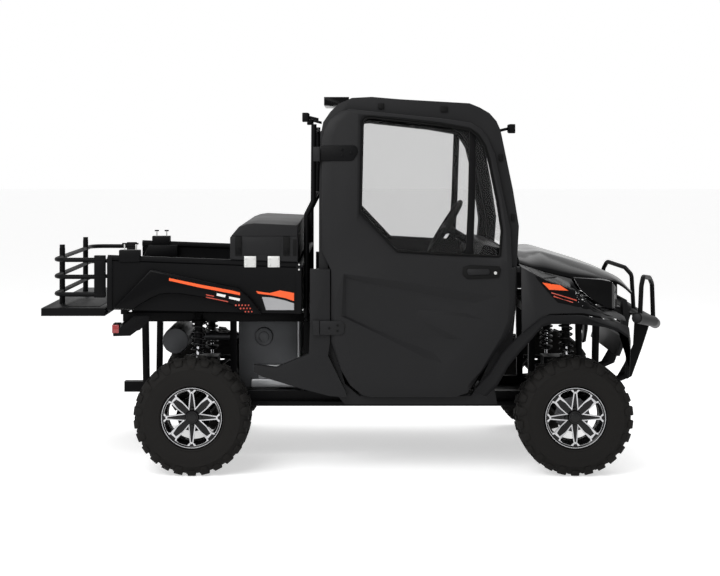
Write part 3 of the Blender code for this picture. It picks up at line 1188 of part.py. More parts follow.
def guard():
    """Front bumper tube swept back at its ends, two side plates, struts and two hoops."""
    front_x = REAR_AXLE_X + WHEELBASE + FRONT_OVERHANG - GUARD_TUBE / 2
    end_x = front_x - GUARD_END_SETBACK
    bend_x = front_x - GUARD_END_SETBACK * 0.25
    bend_z = GUARD_MIDDLE_Z + (GUARD_END_Z - GUARD_MIDDLE_Z) * 0.4
    path = [(end_x, -GUARD_HALF_WIDTH, GUARD_END_Z), (bend_x, -GUARD_FLAT_HALF * 1.5, bend_z),
            (front_x, -GUARD_FLAT_HALF, GUARD_MIDDLE_Z), (front_x, GUARD_FLAT_HALF, GUARD_MIDDLE_Z),
            (bend_x, GUARD_FLAT_HALF * 1.5, bend_z), (end_x, GUARD_HALF_WIDTH, GUARD_END_Z)]
    pieces = []
    plate_base = GUARD_MIDDLE_Z - GUARD_PLATE_DROP
    for name, side in SIDES:
        outline = outline_of(GUARD_PLATE_SHARES, front_x - GUARD_PLATE_LENGTH, GUARD_PLATE_LENGTH,
                             plate_base, GUARD_PLATE_DROP)
        levels = sorted((side * GUARD_PLATE_Y, side * (GUARD_PLATE_Y + GUARD_PLATE_THICKNESS)))
        pieces.append(prism("plate", outline, levels[0], levels[1], STEEL))
        rail_top = CHASSIS_BOTTOM + CHASSIS_TUBE + GAP
        strut_x = CHASSIS_FRONT_X - GUARD_STRUT
        strut = [(front_x - GUARD_PLATE_LENGTH * 0.86, side * (GUARD_PLATE_Y + GUARD_STRUT / 3),
                  plate_base + GUARD_PLATE_DROP * 0.1),
                 (strut_x, side * RAIL_HALF_SPACING, rail_top + GUARD_STRUT)]
        pieces.append(tube("strut", strut, GUARD_STRUT, STEEL, 8))
        rail = (side * RAIL_HALF_SPACING - CHASSIS_TUBE / 2, side * RAIL_HALF_SPACING + CHASSIS_TUBE / 2)
        pieces.append(box("foot", (strut_x - GUARD_STRUT, strut_x + GUARD_STRUT), rail,
                          (rail_top, rail_top + GUARD_STRUT), STEEL))
        hoop = [(end_x + GUARD_END_SETBACK * along, side * GUARD_HALF_WIDTH * out,
                 GUARD_END_Z + HOOP_HEIGHT * up) for along, out, up in HOOP_SHARES]
        pieces.append(tube("hoop", hoop, HOOP_TUBE, STEEL, 8))
    body = tube("front_guard", path, GUARD_TUBE, STEEL, 12)
    return fuse(body, *pieces)


# Cargo bed and what rides on it
BED_FRONT_WALL_SHARE = 0.935
BED_PIVOT_FROM_REAR = 0.045
BED_PIVOT_SEAT = 0.005
BED_PIVOT_TUBE = 0.036
BED_LUG_WIDTH = 0.040
POST_WIDTH = 0.027
TRIM_LENGTH = 0.798
TRIM_HEIGHT = 0.244
TRIM_THICKNESS = 0.045
TRIM_FROM_REAR = 0.037
TRIM_SHARES = [
    (0.0, 0.12), (0.248, 1.0), (0.349, 0.923), (0.584, 0.758), (0.839, 0.582), (0.919, 0.363), (1.0, 0.01),
    (0.893, 0.0), (0.852, 0.077), (0.799, 0.209), (0.718, 0.297), (0.584, 0.385), (0.45, 0.45),
    (0.383, 0.46), (0.315, 0.44), (0.248, 0.34), (0.181, 0.209), (0.134, 0.10)]
TOOLBOX_LENGTH = 0.365
TOOLBOX_HEIGHT = 0.196
TOOLBOX_HALF_WIDTH = 0.680
TOOLBOX_FROM_FRONT = 0.020
TOOLBOX_SHARES = [(0.0, 0.0), (0.0, 0.61), (0.03, 0.68), (0.13, 0.90), (0.235, 0.97), (0.35, 1.0),
                  (1.0, 0.944), (1.0, 0.0)]
TOOLBOX_SEAM_SHARE = 0.64
TOOLBOX_WALL = 0.012
TAILGATE_LENGTH = 0.346
TAILGATE_THICKNESS = 0.042
TAILGATE_HALF_WIDTH = 0.620
LOAD_PANEL_HEIGHT = 0.003
LOAD_PANEL_LENGTH = 0.200
LOAD_PANEL_HALF_WIDTH = 0.540
LOAD_PANEL_FROM_HINGE = 0.040
TAILGATE_HINGE_GAP = 0.008
TAILGATE_HINGE_OUT = 0.017
TAILGATE_HINGE_Y = 0.430
TAILGATE_LUG_WIDTH = 0.030
TAILGATE_PIN = 0.014
EXTENDER_TUBE = 0.025
EXTENDER_HALF_WIDTH = 0.590
EXTENDER_LEVEL_SHARES = (0.22, 0.51, 0.79)
EXTENDER_HEIGHT = 0.330
EXTENDER_FROM_END = 0.066
EXTENDER_POST_Y = 0.365
EXTENDER_POST = 0.032
EXTENDER_CORNER = 0.070
EXTENDER_BLOCK = (0.062, 0.024, 0.050)

BED_PIVOT_X = BED_REAR_X + BED_PIVOT_FROM_REAR
BED_PIVOT_Z = SUBFRAME_TOP + BED_PIVOT_TUBE / 2 - BED_PIVOT_SEAT
TAILGATE_HINGE_X = BED_REAR_X - TAILGATE_HINGE_OUT
TAILGATE_TOP_Z = BED_FLOOR_HEIGHT + BED_REAR_RISE
TAILGATE_HINGE_Z = TAILGATE_TOP_Z + SHEET + TAILGATE_PIN / 4


def bed_levels(x):
    """Underside of the floor and top of the walls at a place along the bed."""
    share = (BED_FRONT_X - x) / BED_LENGTH
    low = BED_FLOOR_HEIGHT + BED_REAR_RISE * share
    wall = BED_WALL_HEIGHT * (BED_FRONT_WALL_SHARE + (1 - BED_FRONT_WALL_SHARE) * share)
    return low, low + wall


def bed():
    """Open topped bed: floor, side walls, front wall, corner posts, rails and pivot lugs."""
    half = BED_HALF_WIDTH
    sections = []
    for x in (BED_REAR_X, BED_FRONT_X):
        low, high = bed_levels(x)
        sections.append([(x, y, z) for y, z in (
            (-half, low), (half, low), (half, high), (half - SHEET, high), (half - SHEET, low + SHEET),
            (SHEET - half, low + SHEET), (SHEET - half, high), (-half, high))])
    body = loft("cargo_bed", sections, STEEL)
    low, high = bed_levels(BED_FRONT_X)
    lean = BED_WALL_HEIGHT * BED_REAR_RISE / BED_LENGTH
    outline = [(BED_FRONT_X - SHEET - lean, low + GAP), (BED_FRONT_X - GAP, low + GAP),
               (BED_FRONT_X - GAP, high - GAP), (BED_FRONT_X - SHEET, high - GAP)]
    pieces = [prism("front wall", outline, SHEET / 2 - half, half - SHEET / 2, STEEL)]
    for name, side in SIDES:
        rail_y = side * (half - RAIL_SIZE / 2 + GAP)
        ends = []
        for x in (BED_REAR_X - GAP, BED_FRONT_X + GAP):
            ends.append((x, rail_y, bed_levels(x)[1] + RAIL_SIZE / 2 - PANE_THICKNESS))
        pieces.append(tube("rail", ends, RAIL_SIZE, STEEL, 8))
        for x in (BED_REAR_X - GAP, BED_FRONT_X + GAP - POST_WIDTH):
            base, top = bed_levels(x)
            levels = sorted((side * (half - POST_WIDTH / 2), side * (half + POST_WIDTH / 2)))
            pieces.append(box("post", (x, x + POST_WIDTH), levels, (base - GAP, top + RAIL_SIZE / 2), STEEL))
        pieces.append(box("tailgate lug", (TAILGATE_HINGE_X, BED_REAR_X + SHEET / 2),
                          (side * TAILGATE_HINGE_Y - TAILGATE_LUG_WIDTH, side * TAILGATE_HINGE_Y),
                          (TAILGATE_TOP_Z + SHEET / 4, TAILGATE_HINGE_Z), STEEL))
        pieces.append(disc("tailgate pin", (TAILGATE_HINGE_X, side * TAILGATE_HINGE_Y, TAILGATE_HINGE_Z),
                           TAILGATE_PIN, TAILGATE_LUG_WIDTH * 2, STEEL, "Y", 8))
        inner = SUBFRAME_HALF_SPACING + CHASSIS_TUBE / 2 + GAP
        levels = sorted((side * inner, side * (inner + BED_LUG_WIDTH)))
        pieces.append(box("pivot lug", (BED_PIVOT_X - BED_PIVOT_TUBE / 2, BED_PIVOT_X + BED_PIVOT_TUBE / 2),
                          levels, (BED_PIVOT_Z - BED_PIVOT_TUBE / 2, TAILGATE_TOP_Z + SHEET / 2), STEEL))
        runner = sorted(side * SUBFRAME_HALF_SPACING + edge for edge in (-SHEET / 2, SHEET / 2))
        start = BED_PIVOT_X + BED_PIVOT_TUBE
        pieces.append(loft("runner", [[(x, y, z) for y, z in (
            (runner[0], SUBFRAME_TOP + GAP), (runner[1], SUBFRAME_TOP + GAP),
            (runner[1], bed_levels(x)[0] + SHEET / 3), (runner[0], bed_levels(x)[0] + SHEET / 3))]
            for x in (start, BED_FRONT_X - SHEET)], STEEL))
    return fuse(body, *pieces)


def bed_trim(name, side):
    """Fender trim on the bed's side, arched over the rear wheel."""
    outline = outline_of(TRIM_SHARES, BED_REAR_X + TRIM_FROM_REAR, TRIM_LENGTH, BED_FLOOR_HEIGHT, TRIM_HEIGHT)
    levels = sorted((side * (BED_HALF_WIDTH + GAP), side * (BED_HALF_WIDTH + TRIM_THICKNESS)))
    return prism(f"bed_trim_{name}", outline, levels[0], levels[1], GLOSS)


def rail_top(x):
    """Height of the bed rail's upper flat at a place along the bed."""
    return bed_levels(x)[1] - PANE_THICKNESS + RAIL_SIZE / 2 * (1 + math.cos(math.pi / 8))


def toolbox_place():
    """Rear end and base of the toolbox, which stands on the rails."""
    rear = BED_FRONT_X - TOOLBOX_FROM_FRONT - TOOLBOX_LENGTH
    return rear, rail_top(rear) + GAP


def toolbox_half(name, low, high, material):
    """A slice of the toolbox between two levels, hollowed from the seam."""
    rear, base = toolbox_place()
    outline = outline_of(TOOLBOX_SHARES, rear, TOOLBOX_LENGTH, base, TOOLBOX_HEIGHT)
    outline[-1] = (rear + TOOLBOX_LENGTH, rail_top(rear + TOOLBOX_LENGTH) + GAP)
    body = prism(name, outline, -TOOLBOX_HALF_WIDTH, TOOLBOX_HALF_WIDTH, material)
    slab = box("slice", (rear - CUT_OVERRUN, rear + TOOLBOX_LENGTH + CUT_OVERRUN),
               (-TOOLBOX_HALF_WIDTH - CUT_OVERRUN, TOOLBOX_HALF_WIDTH + CUT_OVERRUN), (low, high), material)
    return combine(body, [slab], "INTERSECT")


def toolbox():
    """Cross bed toolbox that stands on the rails, open under its lid."""
    rear, base = toolbox_place()
    seam = base + TOOLBOX_HEIGHT * TOOLBOX_SEAM_SHARE
    body = toolbox_half("toolbox", base - CUT_OVERRUN * 2, seam, PAINT)
    inside = box("inside", (rear + TOOLBOX_WALL, rear + TOOLBOX_LENGTH - TOOLBOX_WALL),
                 (TOOLBOX_WALL - TOOLBOX_HALF_WIDTH, TOOLBOX_HALF_WIDTH - TOOLBOX_WALL),
                 (base + TOOLBOX_WALL, seam + CUT_OVERRUN), PAINT)
    return cut(body, inside)


def toolbox_lid():
    """Domed lid of the toolbox, hinged along its rear edge."""
    rear, base = toolbox_place()
    seam = base + TOOLBOX_HEIGHT * TOOLBOX_SEAM_SHARE
    body = toolbox_half("toolbox_lid", seam + GAP, base + TOOLBOX_HEIGHT + CUT_OVERRUN, PAINT)
    inside = box("inside", (rear + TOOLBOX_WALL * 4, rear + TOOLBOX_LENGTH - TOOLBOX_WALL * 2),
                 (TOOLBOX_WALL - TOOLBOX_HALF_WIDTH, TOOLBOX_HALF_WIDTH - TOOLBOX_WALL),
                 (seam - CUT_OVERRUN, base + TOOLBOX_HEIGHT - TOOLBOX_WALL * 2), PAINT)
    return cut(body, inside)


def tailgate():
    """Tailgate let down level with the bed's floor, with a raised load panel."""
    start = TAILGATE_HINGE_X - TAILGATE_HINGE_GAP
    body = box("tailgate", (start - TAILGATE_LENGTH, start), (-TAILGATE_HALF_WIDTH, TAILGATE_HALF_WIDTH),
               (TAILGATE_TOP_Z - TAILGATE_THICKNESS, TAILGATE_TOP_Z), STEEL)
    lugs = [box("lug", (start - TAILGATE_PIN, TAILGATE_HINGE_X - TAILGATE_PIN / 2 - GAP),
                (side * TAILGATE_HINGE_Y + GAP, side * TAILGATE_HINGE_Y + TAILGATE_LUG_WIDTH - GAP),
                (TAILGATE_TOP_Z - TAILGATE_THICKNESS / 2, TAILGATE_HINGE_Z), STEEL) for name, side in SIDES]
    panel_x = start - LOAD_PANEL_FROM_HINGE
    panel = box("load panel", (panel_x - LOAD_PANEL_LENGTH, panel_x),
                (-LOAD_PANEL_HALF_WIDTH, LOAD_PANEL_HALF_WIDTH),
                (TAILGATE_TOP_Z - TAILGATE_THICKNESS / 2, TAILGATE_TOP_Z + LOAD_PANEL_HEIGHT), STEEL)
    return fuse(body, panel, *lugs)


def extender():
    """Bed extender: three U tubes on two posts that stand on the tailgate."""
    rear = TAILGATE_HINGE_X - TAILGATE_HINGE_GAP - TAILGATE_LENGTH + EXTENDER_FROM_END
    front = TAILGATE_HINGE_X - TAILGATE_HINGE_GAP
    base = TAILGATE_TOP_Z + GAP
    wide = EXTENDER_HALF_WIDTH
    pieces = []
    for share in EXTENDER_LEVEL_SHARES:
        z = base + EXTENDER_HEIGHT * share
        path = [(front, -wide, z), (rear + EXTENDER_CORNER, -wide, z), (rear, EXTENDER_CORNER - wide, z),
                (rear, wide - EXTENDER_CORNER, z), (rear + EXTENDER_CORNER, wide, z), (front, wide, z)]
        pieces.append(tube("hoop", path, EXTENDER_TUBE, STEEL, 6))
    for name, side in SIDES:
        ends = [(rear, side * EXTENDER_POST_Y, z) for z in (base, base + EXTENDER_HEIGHT)]
        pieces.append(tube("post", ends, EXTENDER_POST, STEEL, 6))
        length, width, height = EXTENDER_BLOCK
        levels = sorted((side * (wide - width / 2), side * (wide + width / 2)))
        low = base + EXTENDER_HEIGHT * EXTENDER_LEVEL_SHARES[0]
        high = base + EXTENDER_HEIGHT * EXTENDER_LEVEL_SHARES[2]
        pieces.append(box("end plate", (front - length, front + GAP), levels,
                          (low - height / 3, high + height / 2), STEEL))
    return rename(fuse(pieces[0], *pieces[1:]), "bed_extender")


RACK_TUBE = 0.030
RACK_HALF_WIDTH = 0.520
RACK_SHARES = [(0.323, 0.84), (0.357, 0.38), (0.760, 0.30), (0.760, 0.0)]
RACK_BAR_SHARES = (0.82, 0.40, 0.06)


def rear_rack():
    """Guard frame behind the cab's rear window, standing on the bed's bearers."""
    pieces = []
    for name, side in SIDES:
        path = [(CAB_REAR_X - BED_FRONT_GAP * back, side * RACK_HALF_WIDTH, BELT_HEIGHT + UPPER_HEIGHT * up)
                for back, up in RACK_SHARES]
        path[-1:] = [(path[-1][0], side * RACK_HALF_WIDTH, SUBFRAME_TOP - CHASSIS_TUBE / 2),
                     (path[-1][0], side * (SUBFRAME_HALF_SPACING + CHASSIS_TUBE / 2 + GAP),
                      SUBFRAME_TOP - CHASSIS_TUBE / 2)]
        pieces.append(tube("upright", path, RACK_TUBE, STEEL, 8))
    for share in RACK_BAR_SHARES:
        z = BELT_HEIGHT + UPPER_HEIGHT * share
        x = CAB_REAR_X - BED_FRONT_GAP * RACK_SHARES[1 if share > RACK_SHARES[1][1] else 2][0]
        ends = [(x, side * RACK_HALF_WIDTH, z) for side in (-1, 1)]
        pieces.append(tube("bar", ends, RACK_TUBE * 0.8, STEEL, 8))
    return rename(fuse(pieces[0], *pieces[1:]), "rear_rack")


FASCIA_SHARES = [(0.59, 1.0), (1.0, 1.0), (1.0, 0.77), (0.75, 0.31), (0.67, 0.27), (0.48, 0.02),
                 (0.01, 0.0), (0.0, 0.14)]
FASCIA_LENGTH = 0.195
FASCIA_BASE = 0.736
FASCIA_HEIGHT = 0.110
FASCIA_HALF_WIDTH = 0.650
FASCIA_THICKNESS = 0.012
TAIL_LAMP = (0.036, 0.060, 0.056)


def rear_fascia():
    """Rear skirt under the bed: side wings, a cross panel and the tail lamps."""
    rear = BED_REAR_X + RUNNING_GAP * 4
    front = rear + FASCIA_LENGTH
    pieces = []
    for name, side in SIDES:
        outline = outline_of(FASCIA_SHARES, rear, FASCIA_LENGTH, FASCIA_BASE, FASCIA_HEIGHT)
        levels = sorted((side * (FASCIA_HALF_WIDTH - FASCIA_THICKNESS), side * FASCIA_HALF_WIDTH))
        pieces.append(prism("wing", outline, levels[0], levels[1], STEEL))
        deep, wide, tall = TAIL_LAMP
        levels = sorted((side * (FASCIA_HALF_WIDTH - FASCIA_THICKNESS / 2),
                         side * (FASCIA_HALF_WIDTH - FASCIA_THICKNESS - wide)))
        base = FASCIA_BASE + FASCIA_HEIGHT * 0.1
        pieces.append(box("tail lamp", (rear - GAP, rear + deep), levels, (base, base + tall), STEEL))
    body = box("rear_fascia", (rear + FASCIA_THICKNESS, rear + FASCIA_THICKNESS * 2),
               (FASCIA_THICKNESS / 2 - FASCIA_HALF_WIDTH, FASCIA_HALF_WIDTH - FASCIA_THICKNESS / 2),
               (FASCIA_BASE + GAP, FASCIA_BASE + FASCIA_HEIGHT * 0.4), STEEL)
    for name, side in SIDES:
        levels = sorted((side * (SUBFRAME_HALF_SPACING - CHASSIS_TUBE / 2),
                         side * (SUBFRAME_HALF_SPACING + CHASSIS_TUBE / 2)))
        pieces.append(box("bracket", (rear + FASCIA_THICKNESS * 1.5, rear + FASCIA_THICKNESS * 5), levels,
                          (FASCIA_BASE + FASCIA_THICKNESS, SUBFRAME_TOP - CHASSIS_TUBE - GAP), STEEL))
    return fuse(body, *pieces)


def build():
    """Makes every piece and hangs the moving ones on their joints."""
    clear_scene()
    main_frame()
    rear_subframe()
    front_tower()
    skid_plate()
    engine()
    for name, axle_x, steered, frame_half in (("front", FRONT_AXLE_X, True, FRONT_TOWER_HALF_SPACING),
                                              ("rear", REAR_AXLE_X, False, SUBFRAME_HALF_SPACING)):
        suspension(f"{name}_suspension", axle_x, steered)
        for side_name, side in SIDES:
            shock(f"shock_{name}_{side_name}", axle_x, side, frame_half)
            centre = (axle_x, side * TRACK / 2, HUB_Z)
            wheel = [tyre(f"tyre_{name}_{side_name}", centre, RUBBER),
                     rim(f"rim_{name}_{side_name}", centre, side, ALLOY)]
            parent = None
            if steered:
                parts = knuckle_parts(axle_x, side, GAP)
                upright = rename(fuse(*parts), f"knuckle_{side_name}")
                parent = hang(f"steer_{side_name}", (axle_x, side * KINGPIN_Y, HUB_Z), [upright])
            hang(f"spin_{name}_{side_name}", centre, wheel, parent)
    cab_frame()
    roof()
    windscreen()
    rear_panel()
    rear_glass()
    tub()
    dashboard()
    hang("steering", steering_line()[0], [steering_wheel()])
    grille()
    guard()
    rear_rack()
    rear_fascia()
    hang("hood_hinge", (HOOD_REAR_X, 0, HOOD_BASE + HOOD_HEIGHT * HOOD_SHARES[0][1]), [hood()])
    bed_pivot = hang("bed_pivot", (BED_PIVOT_X, 0, BED_PIVOT_Z), [bed(), toolbox()])
    hang("tailgate_hinge", (TAILGATE_HINGE_X, 0, TAILGATE_HINGE_Z), [tailgate(), extender()], bed_pivot)
    rear, base = toolbox_place()
    hang("lid_hinge", (rear, 0, base + TOOLBOX_HEIGHT * TOOLBOX_SEAM_SHARE), [toolbox_lid()], bed_pivot)
    for name, side in SIDES:
        seat(name, side)
        side_cover(name, side)
        fender(name, side)
        flare(name, side)
        headlamp(name, side)
        base_point = door_axis(side)[0]
        hang(f"door_hinge_{name}", base_point, [door(name, side), door_glass(name, side)])
        hang(f"trim_mount_{name}", (BED_PIVOT_X, 0, BED_PIVOT_Z), [bed_trim(name, side)], bed_pivot)
    shade_round_faces()


def shade_round_faces():
    """Shades the round pieces smooth and keeps the edges of the flat ones sharp."""
    for piece in bpy.data.objects:
        if piece.type == "MESH":
            piece.data.shade_smooth()
            piece.data.set_sharp_from_angle(angle=math.radians(SMOOTH_ANGLE))


build()
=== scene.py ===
import math

import bmesh
import bpy
from mathutils import Matrix, Vector
from mathutils.bvhtree import BVHTree
from mathutils.geometry import delaunay_2d_cdt


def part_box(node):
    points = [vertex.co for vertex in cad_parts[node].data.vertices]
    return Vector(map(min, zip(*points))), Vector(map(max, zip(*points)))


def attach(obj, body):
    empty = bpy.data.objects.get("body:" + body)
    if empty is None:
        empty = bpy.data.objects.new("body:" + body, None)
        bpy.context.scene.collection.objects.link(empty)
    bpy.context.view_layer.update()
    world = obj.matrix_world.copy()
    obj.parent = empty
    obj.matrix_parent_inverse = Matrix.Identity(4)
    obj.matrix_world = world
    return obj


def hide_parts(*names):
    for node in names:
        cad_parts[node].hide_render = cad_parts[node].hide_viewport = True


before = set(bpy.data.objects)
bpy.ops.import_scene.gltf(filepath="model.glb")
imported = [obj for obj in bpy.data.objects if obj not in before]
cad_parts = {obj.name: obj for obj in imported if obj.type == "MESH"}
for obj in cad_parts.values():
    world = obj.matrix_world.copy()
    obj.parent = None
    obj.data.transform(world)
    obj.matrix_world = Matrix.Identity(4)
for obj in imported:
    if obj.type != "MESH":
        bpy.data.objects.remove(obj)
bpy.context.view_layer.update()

# Camera: a long lens level with the roof, square to the vehicle's right side, with its frame
# shifted down. The picture is 720 by 576, and FOCAL is the lens in its pixels.
EYE = Vector((-0.038, -8.655, 1.733))
FOCAL = 1479.4
VANISHING = (350, 152)
FRAME_WIDTH = 720
FRAME_HEIGHT = 576
SENSOR = 36

scene = bpy.context.scene
camera = bpy.data.objects.new("camera", bpy.data.cameras.new("camera"))
camera.location = EYE
camera.rotation_euler = (math.radians(90), 0, 0)
camera.data.sensor_width = SENSOR
camera.data.lens = SENSOR * FOCAL / FRAME_WIDTH
camera.data.shift_x = (FRAME_WIDTH / 2 - VANISHING[0]) / FRAME_WIDTH
camera.data.shift_y = (VANISHING[1] - FRAME_HEIGHT / 2) / FRAME_WIDTH
scene.collection.objects.link(camera)
scene.camera = camera
scene.view_settings.view_transform = "Standard"


def seen(outline, y):
    """(X, Z) on the upright plane at y of places given as (across, down) in the picture."""
    scale = (y - EYE.y) / FOCAL
    return [(EYE.x + (across - VANISHING[0]) * scale, EYE.z - (down - VANISHING[1]) * scale)
            for across, down in outline]


def add(tree, kind, values=None, links=None, **settings):
    """Adds one node to a tree with its settings, its input values and its links."""
    node = tree.nodes.new(kind)
    for key, value in settings.items():
        setattr(node, key, value)
    for socket, value in (values or {}).items():
        node.inputs[socket].default_value = value
    for socket, source in (links or {}).items():
        for output in source if isinstance(source, list) else [source]:
            tree.links.new(output, node.inputs[socket])
    return node


def linear(colour):
    """An sRGB hex colour as linear red, green, blue and one."""
    parts = [int(colour[place:place + 2], 16) / 255 for place in (1, 3, 5)]
    return [part / 12.92 if part <= 0.04045 else ((part + 0.055) / 1.055) ** 2.4 for part in parts] + [1]


# Studio: a pale matt floor under a white surround. A strong soft box hangs above the camera's
# left, another above the far side, and a faint one stands beside the camera.
FLOOR_REACH = 60
AMBIENT = 0.50
WHITE = (1, 1, 1, 1)


def backdrop_rays(tree):
    """One for rays from the camera, a gloss or a pane, which see the backdrop white, else zero."""
    path = add(tree, "ShaderNodeLightPath").outputs
    direct = add(tree, "ShaderNodeMath", {}, {0: path["Is Camera Ray"], 1: path["Is Glossy Ray"]},
                 operation="MAXIMUM")
    straight = add(tree, "ShaderNodeMath", {}, {0: direct.outputs[0], 1: path["Is Transmission Ray"]},
                   operation="MAXIMUM")
    return straight.outputs[0]


world = bpy.data.worlds.new("white surround")
scene.world = world
world.use_nodes = True
air = world.node_tree
level = add(air, "ShaderNodeMapRange", {"To Min": AMBIENT, "To Max": 1.0}, {"Value": backdrop_rays(air)})
sky = air.nodes["Background"]
sky.inputs["Color"].default_value = WHITE
air.links.new(level.outputs[0], sky.inputs["Strength"])

# Painted floor: a rolled matt white with a faint mottle, lifted to white for the camera's rays.
MOTTLE_SCALE = 2.0
PAINT_TONES = (0.80, 0.84)
PAINT_LIFT = 0.53
PAINT_ROUGHNESS = 0.9
PAINT_SPECULAR = 0.1
floor_mesh = bpy.data.meshes.new("studio_floor")
corners = [(x * FLOOR_REACH, y * FLOOR_REACH, 0) for x, y in ((-1, -1), (1, -1), (1, 1), (-1, 1))]
floor_mesh.from_pydata(corners, [], [(0, 1, 2, 3)])
floor = bpy.data.objects.new("studio_floor", floor_mesh)
scene.collection.objects.link(floor)
paint = bpy.data.materials.new("matt floor paint, rolled")
paint.use_nodes = True
tree = paint.node_tree
place = add(tree, "ShaderNodeTexCoord")
mottle = add(tree, "ShaderNodeTexNoise", {"Scale": MOTTLE_SCALE}, {"Vector": place.outputs["Object"]})
tint = add(tree, "ShaderNodeMapRange", {"To Min": PAINT_TONES[0], "To Max": PAINT_TONES[1]},
           {"Value": mottle.outputs["Fac"]})
lift = add(tree, "ShaderNodeMapRange", {"To Min": 0.0, "To Max": PAINT_LIFT}, {"Value": backdrop_rays(tree)})
shader = tree.nodes["Principled BSDF"]
shader.inputs["Roughness"].default_value = PAINT_ROUGHNESS
shader.inputs["Specular IOR Level"].default_value = PAINT_SPECULAR
shader.inputs["Emission Color"].default_value = WHITE
tree.links.new(tint.outputs[0], shader.inputs["Base Color"])
tree.links.new(lift.outputs[0], shader.inputs["Emission Strength"])
floor_mesh.materials.append(paint)

# Each soft box as (x, y, z, size, power), turned towards one point at the vehicle's middle.
SOFT_BOXES = ((-2.6, -4.2, 4.6, 4.0, 260), (1.8, 1.5, 4.8, 4.5, 150), (0.5, -7.5, 2.2, 3.0, 16))
LIT_POINT = Vector((0, 0, 0.7))
for number, (x, y, z, size, power) in enumerate(SOFT_BOXES):
    lamp = bpy.data.lights.new(f"soft box {number}", "AREA")
    lamp.size = size
    lamp.energy = power
    box = bpy.data.objects.new(lamp.name, lamp)
    box.location = (x, y, z)
    box.rotation_euler = (LIT_POINT - box.location).to_track_quat("-Z", "Y").to_euler()
    scene.collection.objects.link(box)

# Tyres: all terrain tyres of black vulcanised rubber, moulded with 26 shoulder lugs on each
# side, staggered centre blocks and a plain sidewall. They are mounted on the wheel rims.
WHEELS = {name: tuple((low + high) / 2 for low, high in zip(*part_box(f"rim_{name}")))
          for name in ("front_left", "front_right", "rear_left", "rear_right")}
TYRE_RADIUS = 0.313
TYRE_WALL = 0.008
BEAD_RADIUS = 0.2
INNER_WIDTH_SHARE = 0.9
LUGS = 26
LUG_FOOT_SHARE = 1.15
LUG_EDGE = 0.0025
# (radius, offset) places on the carcass, from its bead to the middle of its crown.
CARCASS = [
    (0.1558, 0.0935), (0.164, 0.1005), (0.172, 0.1065), (0.176, 0.1085), (0.180, 0.1065),
    (0.205, 0.1120), (0.235, 0.1145), (0.252, 0.1140), (0.255, 0.1149), (0.259, 0.1148),
    (0.262, 0.1125), (0.276, 0.1080), (0.289, 0.0980), (0.298, 0.0840), (0.3015, 0.0600),
    (0.3025, 0.0300), (0.3030, 0.0)]
SHOULDER_LUG = [(0.050, 0.3130, 0.290, 0.021), (0.086, 0.3128, 0.288, 0.024), (0.101, 0.3040, 0.282, 0.023),
                (0.111, 0.2900, 0.272, 0.020), (0.1149, 0.2740, 0.262, 0.013)]
SHORT_LUG = [(0.056, 0.3130, 0.290, 0.020), (0.086, 0.3128, 0.288, 0.022), (0.101, 0.3035, 0.282, 0.021),
             (0.1095, 0.2930, 0.280, 0.018)]
CENTRE_BLOCK = [(0.004, 0.3125, 0.296, 0.012), (0.018, 0.3130, 0.296, 0.020), (0.042, 0.3130, 0.296, 0.015)]


def finish(name, colour, rough, grain, relief, tone=0.12, stretch=(1, 1, 1), cells=False, **constants):
    """A Principled material whose grain has a size and a depth in millimetres, with uneven tone and gloss."""
    material = bpy.data.materials.new(name)
    material.use_nodes = True
    tree = material.node_tree
    shader = tree.nodes["Principled BSDF"]
    place = add(tree, "ShaderNodeTexCoord")
    spread = add(tree, "ShaderNodeMapping", {"Scale": stretch}, {"Vector": place.outputs["Object"]})
    fine = add(tree, "ShaderNodeTexVoronoi" if cells else "ShaderNodeTexNoise", {"Scale": 1000 / grain},
               {"Vector": spread.outputs[0]})
    broad = add(tree, "ShaderNodeTexNoise", {"Scale": 7.0, "Detail": 4.0},
                {"Vector": place.outputs["Object"]})
    base = linear(colour)
    shade = add(tree, "ShaderNodeMix", {6: [part * (1 - tone) for part in base[:3]] + [1],
                                        7: [part * (1 + tone) for part in base[:3]] + [1]},
                {0: broad.outputs[0]}, data_type="RGBA")
    gloss = add(tree, "ShaderNodeMapRange", {"To Min": max(rough - 0.07, 0.02), "To Max": rough + 0.07},
                {"Value": broad.outputs[0]})
    bump = add(tree, "ShaderNodeBump", {"Distance": relief / 1000, "Strength": 0.6},
               {"Height": fine.outputs[0]})
    for socket, value in constants.items():
        shader.inputs[socket.replace("_", " ")].default_value = value
    tree.links.new(shade.outputs[2], shader.inputs["Base Color"])
    tree.links.new(gloss.outputs[0], shader.inputs["Roughness"])
    tree.links.new(bump.outputs[0], shader.inputs["Normal"])
    return material


def keep(name, mesh, sharp=35):
    """One object of a mesh with its faces outwards, smooth but for edges sharper than an angle."""
    shape = bmesh.new()
    shape.from_mesh(mesh)
    bmesh.ops.remove_doubles(shape, verts=shape.verts, dist=0.00001)
    bmesh.ops.recalc_face_normals(shape, faces=shape.faces)
    shape.to_mesh(mesh)
    shape.free()
    mesh.name = name
    mesh.shade_smooth()
    mesh.set_sharp_from_angle(angle=math.radians(sharp))
    piece = bpy.data.objects.new(name, mesh)
    scene.collection.objects.link(piece)
    return piece


def skin(name, rows, material, closed=False, capped=True, sharp=35):
    """A surface over equal rows of points. Closed rows meet themselves, and caps close the ends."""
    count = len(rows[0])
    faces = []
    for row in range(len(rows) - 1):
        for column in range(count if closed else count - 1):
            after = (column + 1) % count
            faces.append((row * count + column, row * count + after,
                          (row + 1) * count + after, (row + 1) * count + column))
    if capped:
        faces += [tuple(range(count)), tuple(range((len(rows) - 1) * count, len(rows) * count))]
    mesh = bpy.data.meshes.new(name)
    mesh.from_pydata([tuple(point) for row in rows for point in row], [], faces)
    mesh.materials.append(material)
    return keep(name, mesh, sharp)


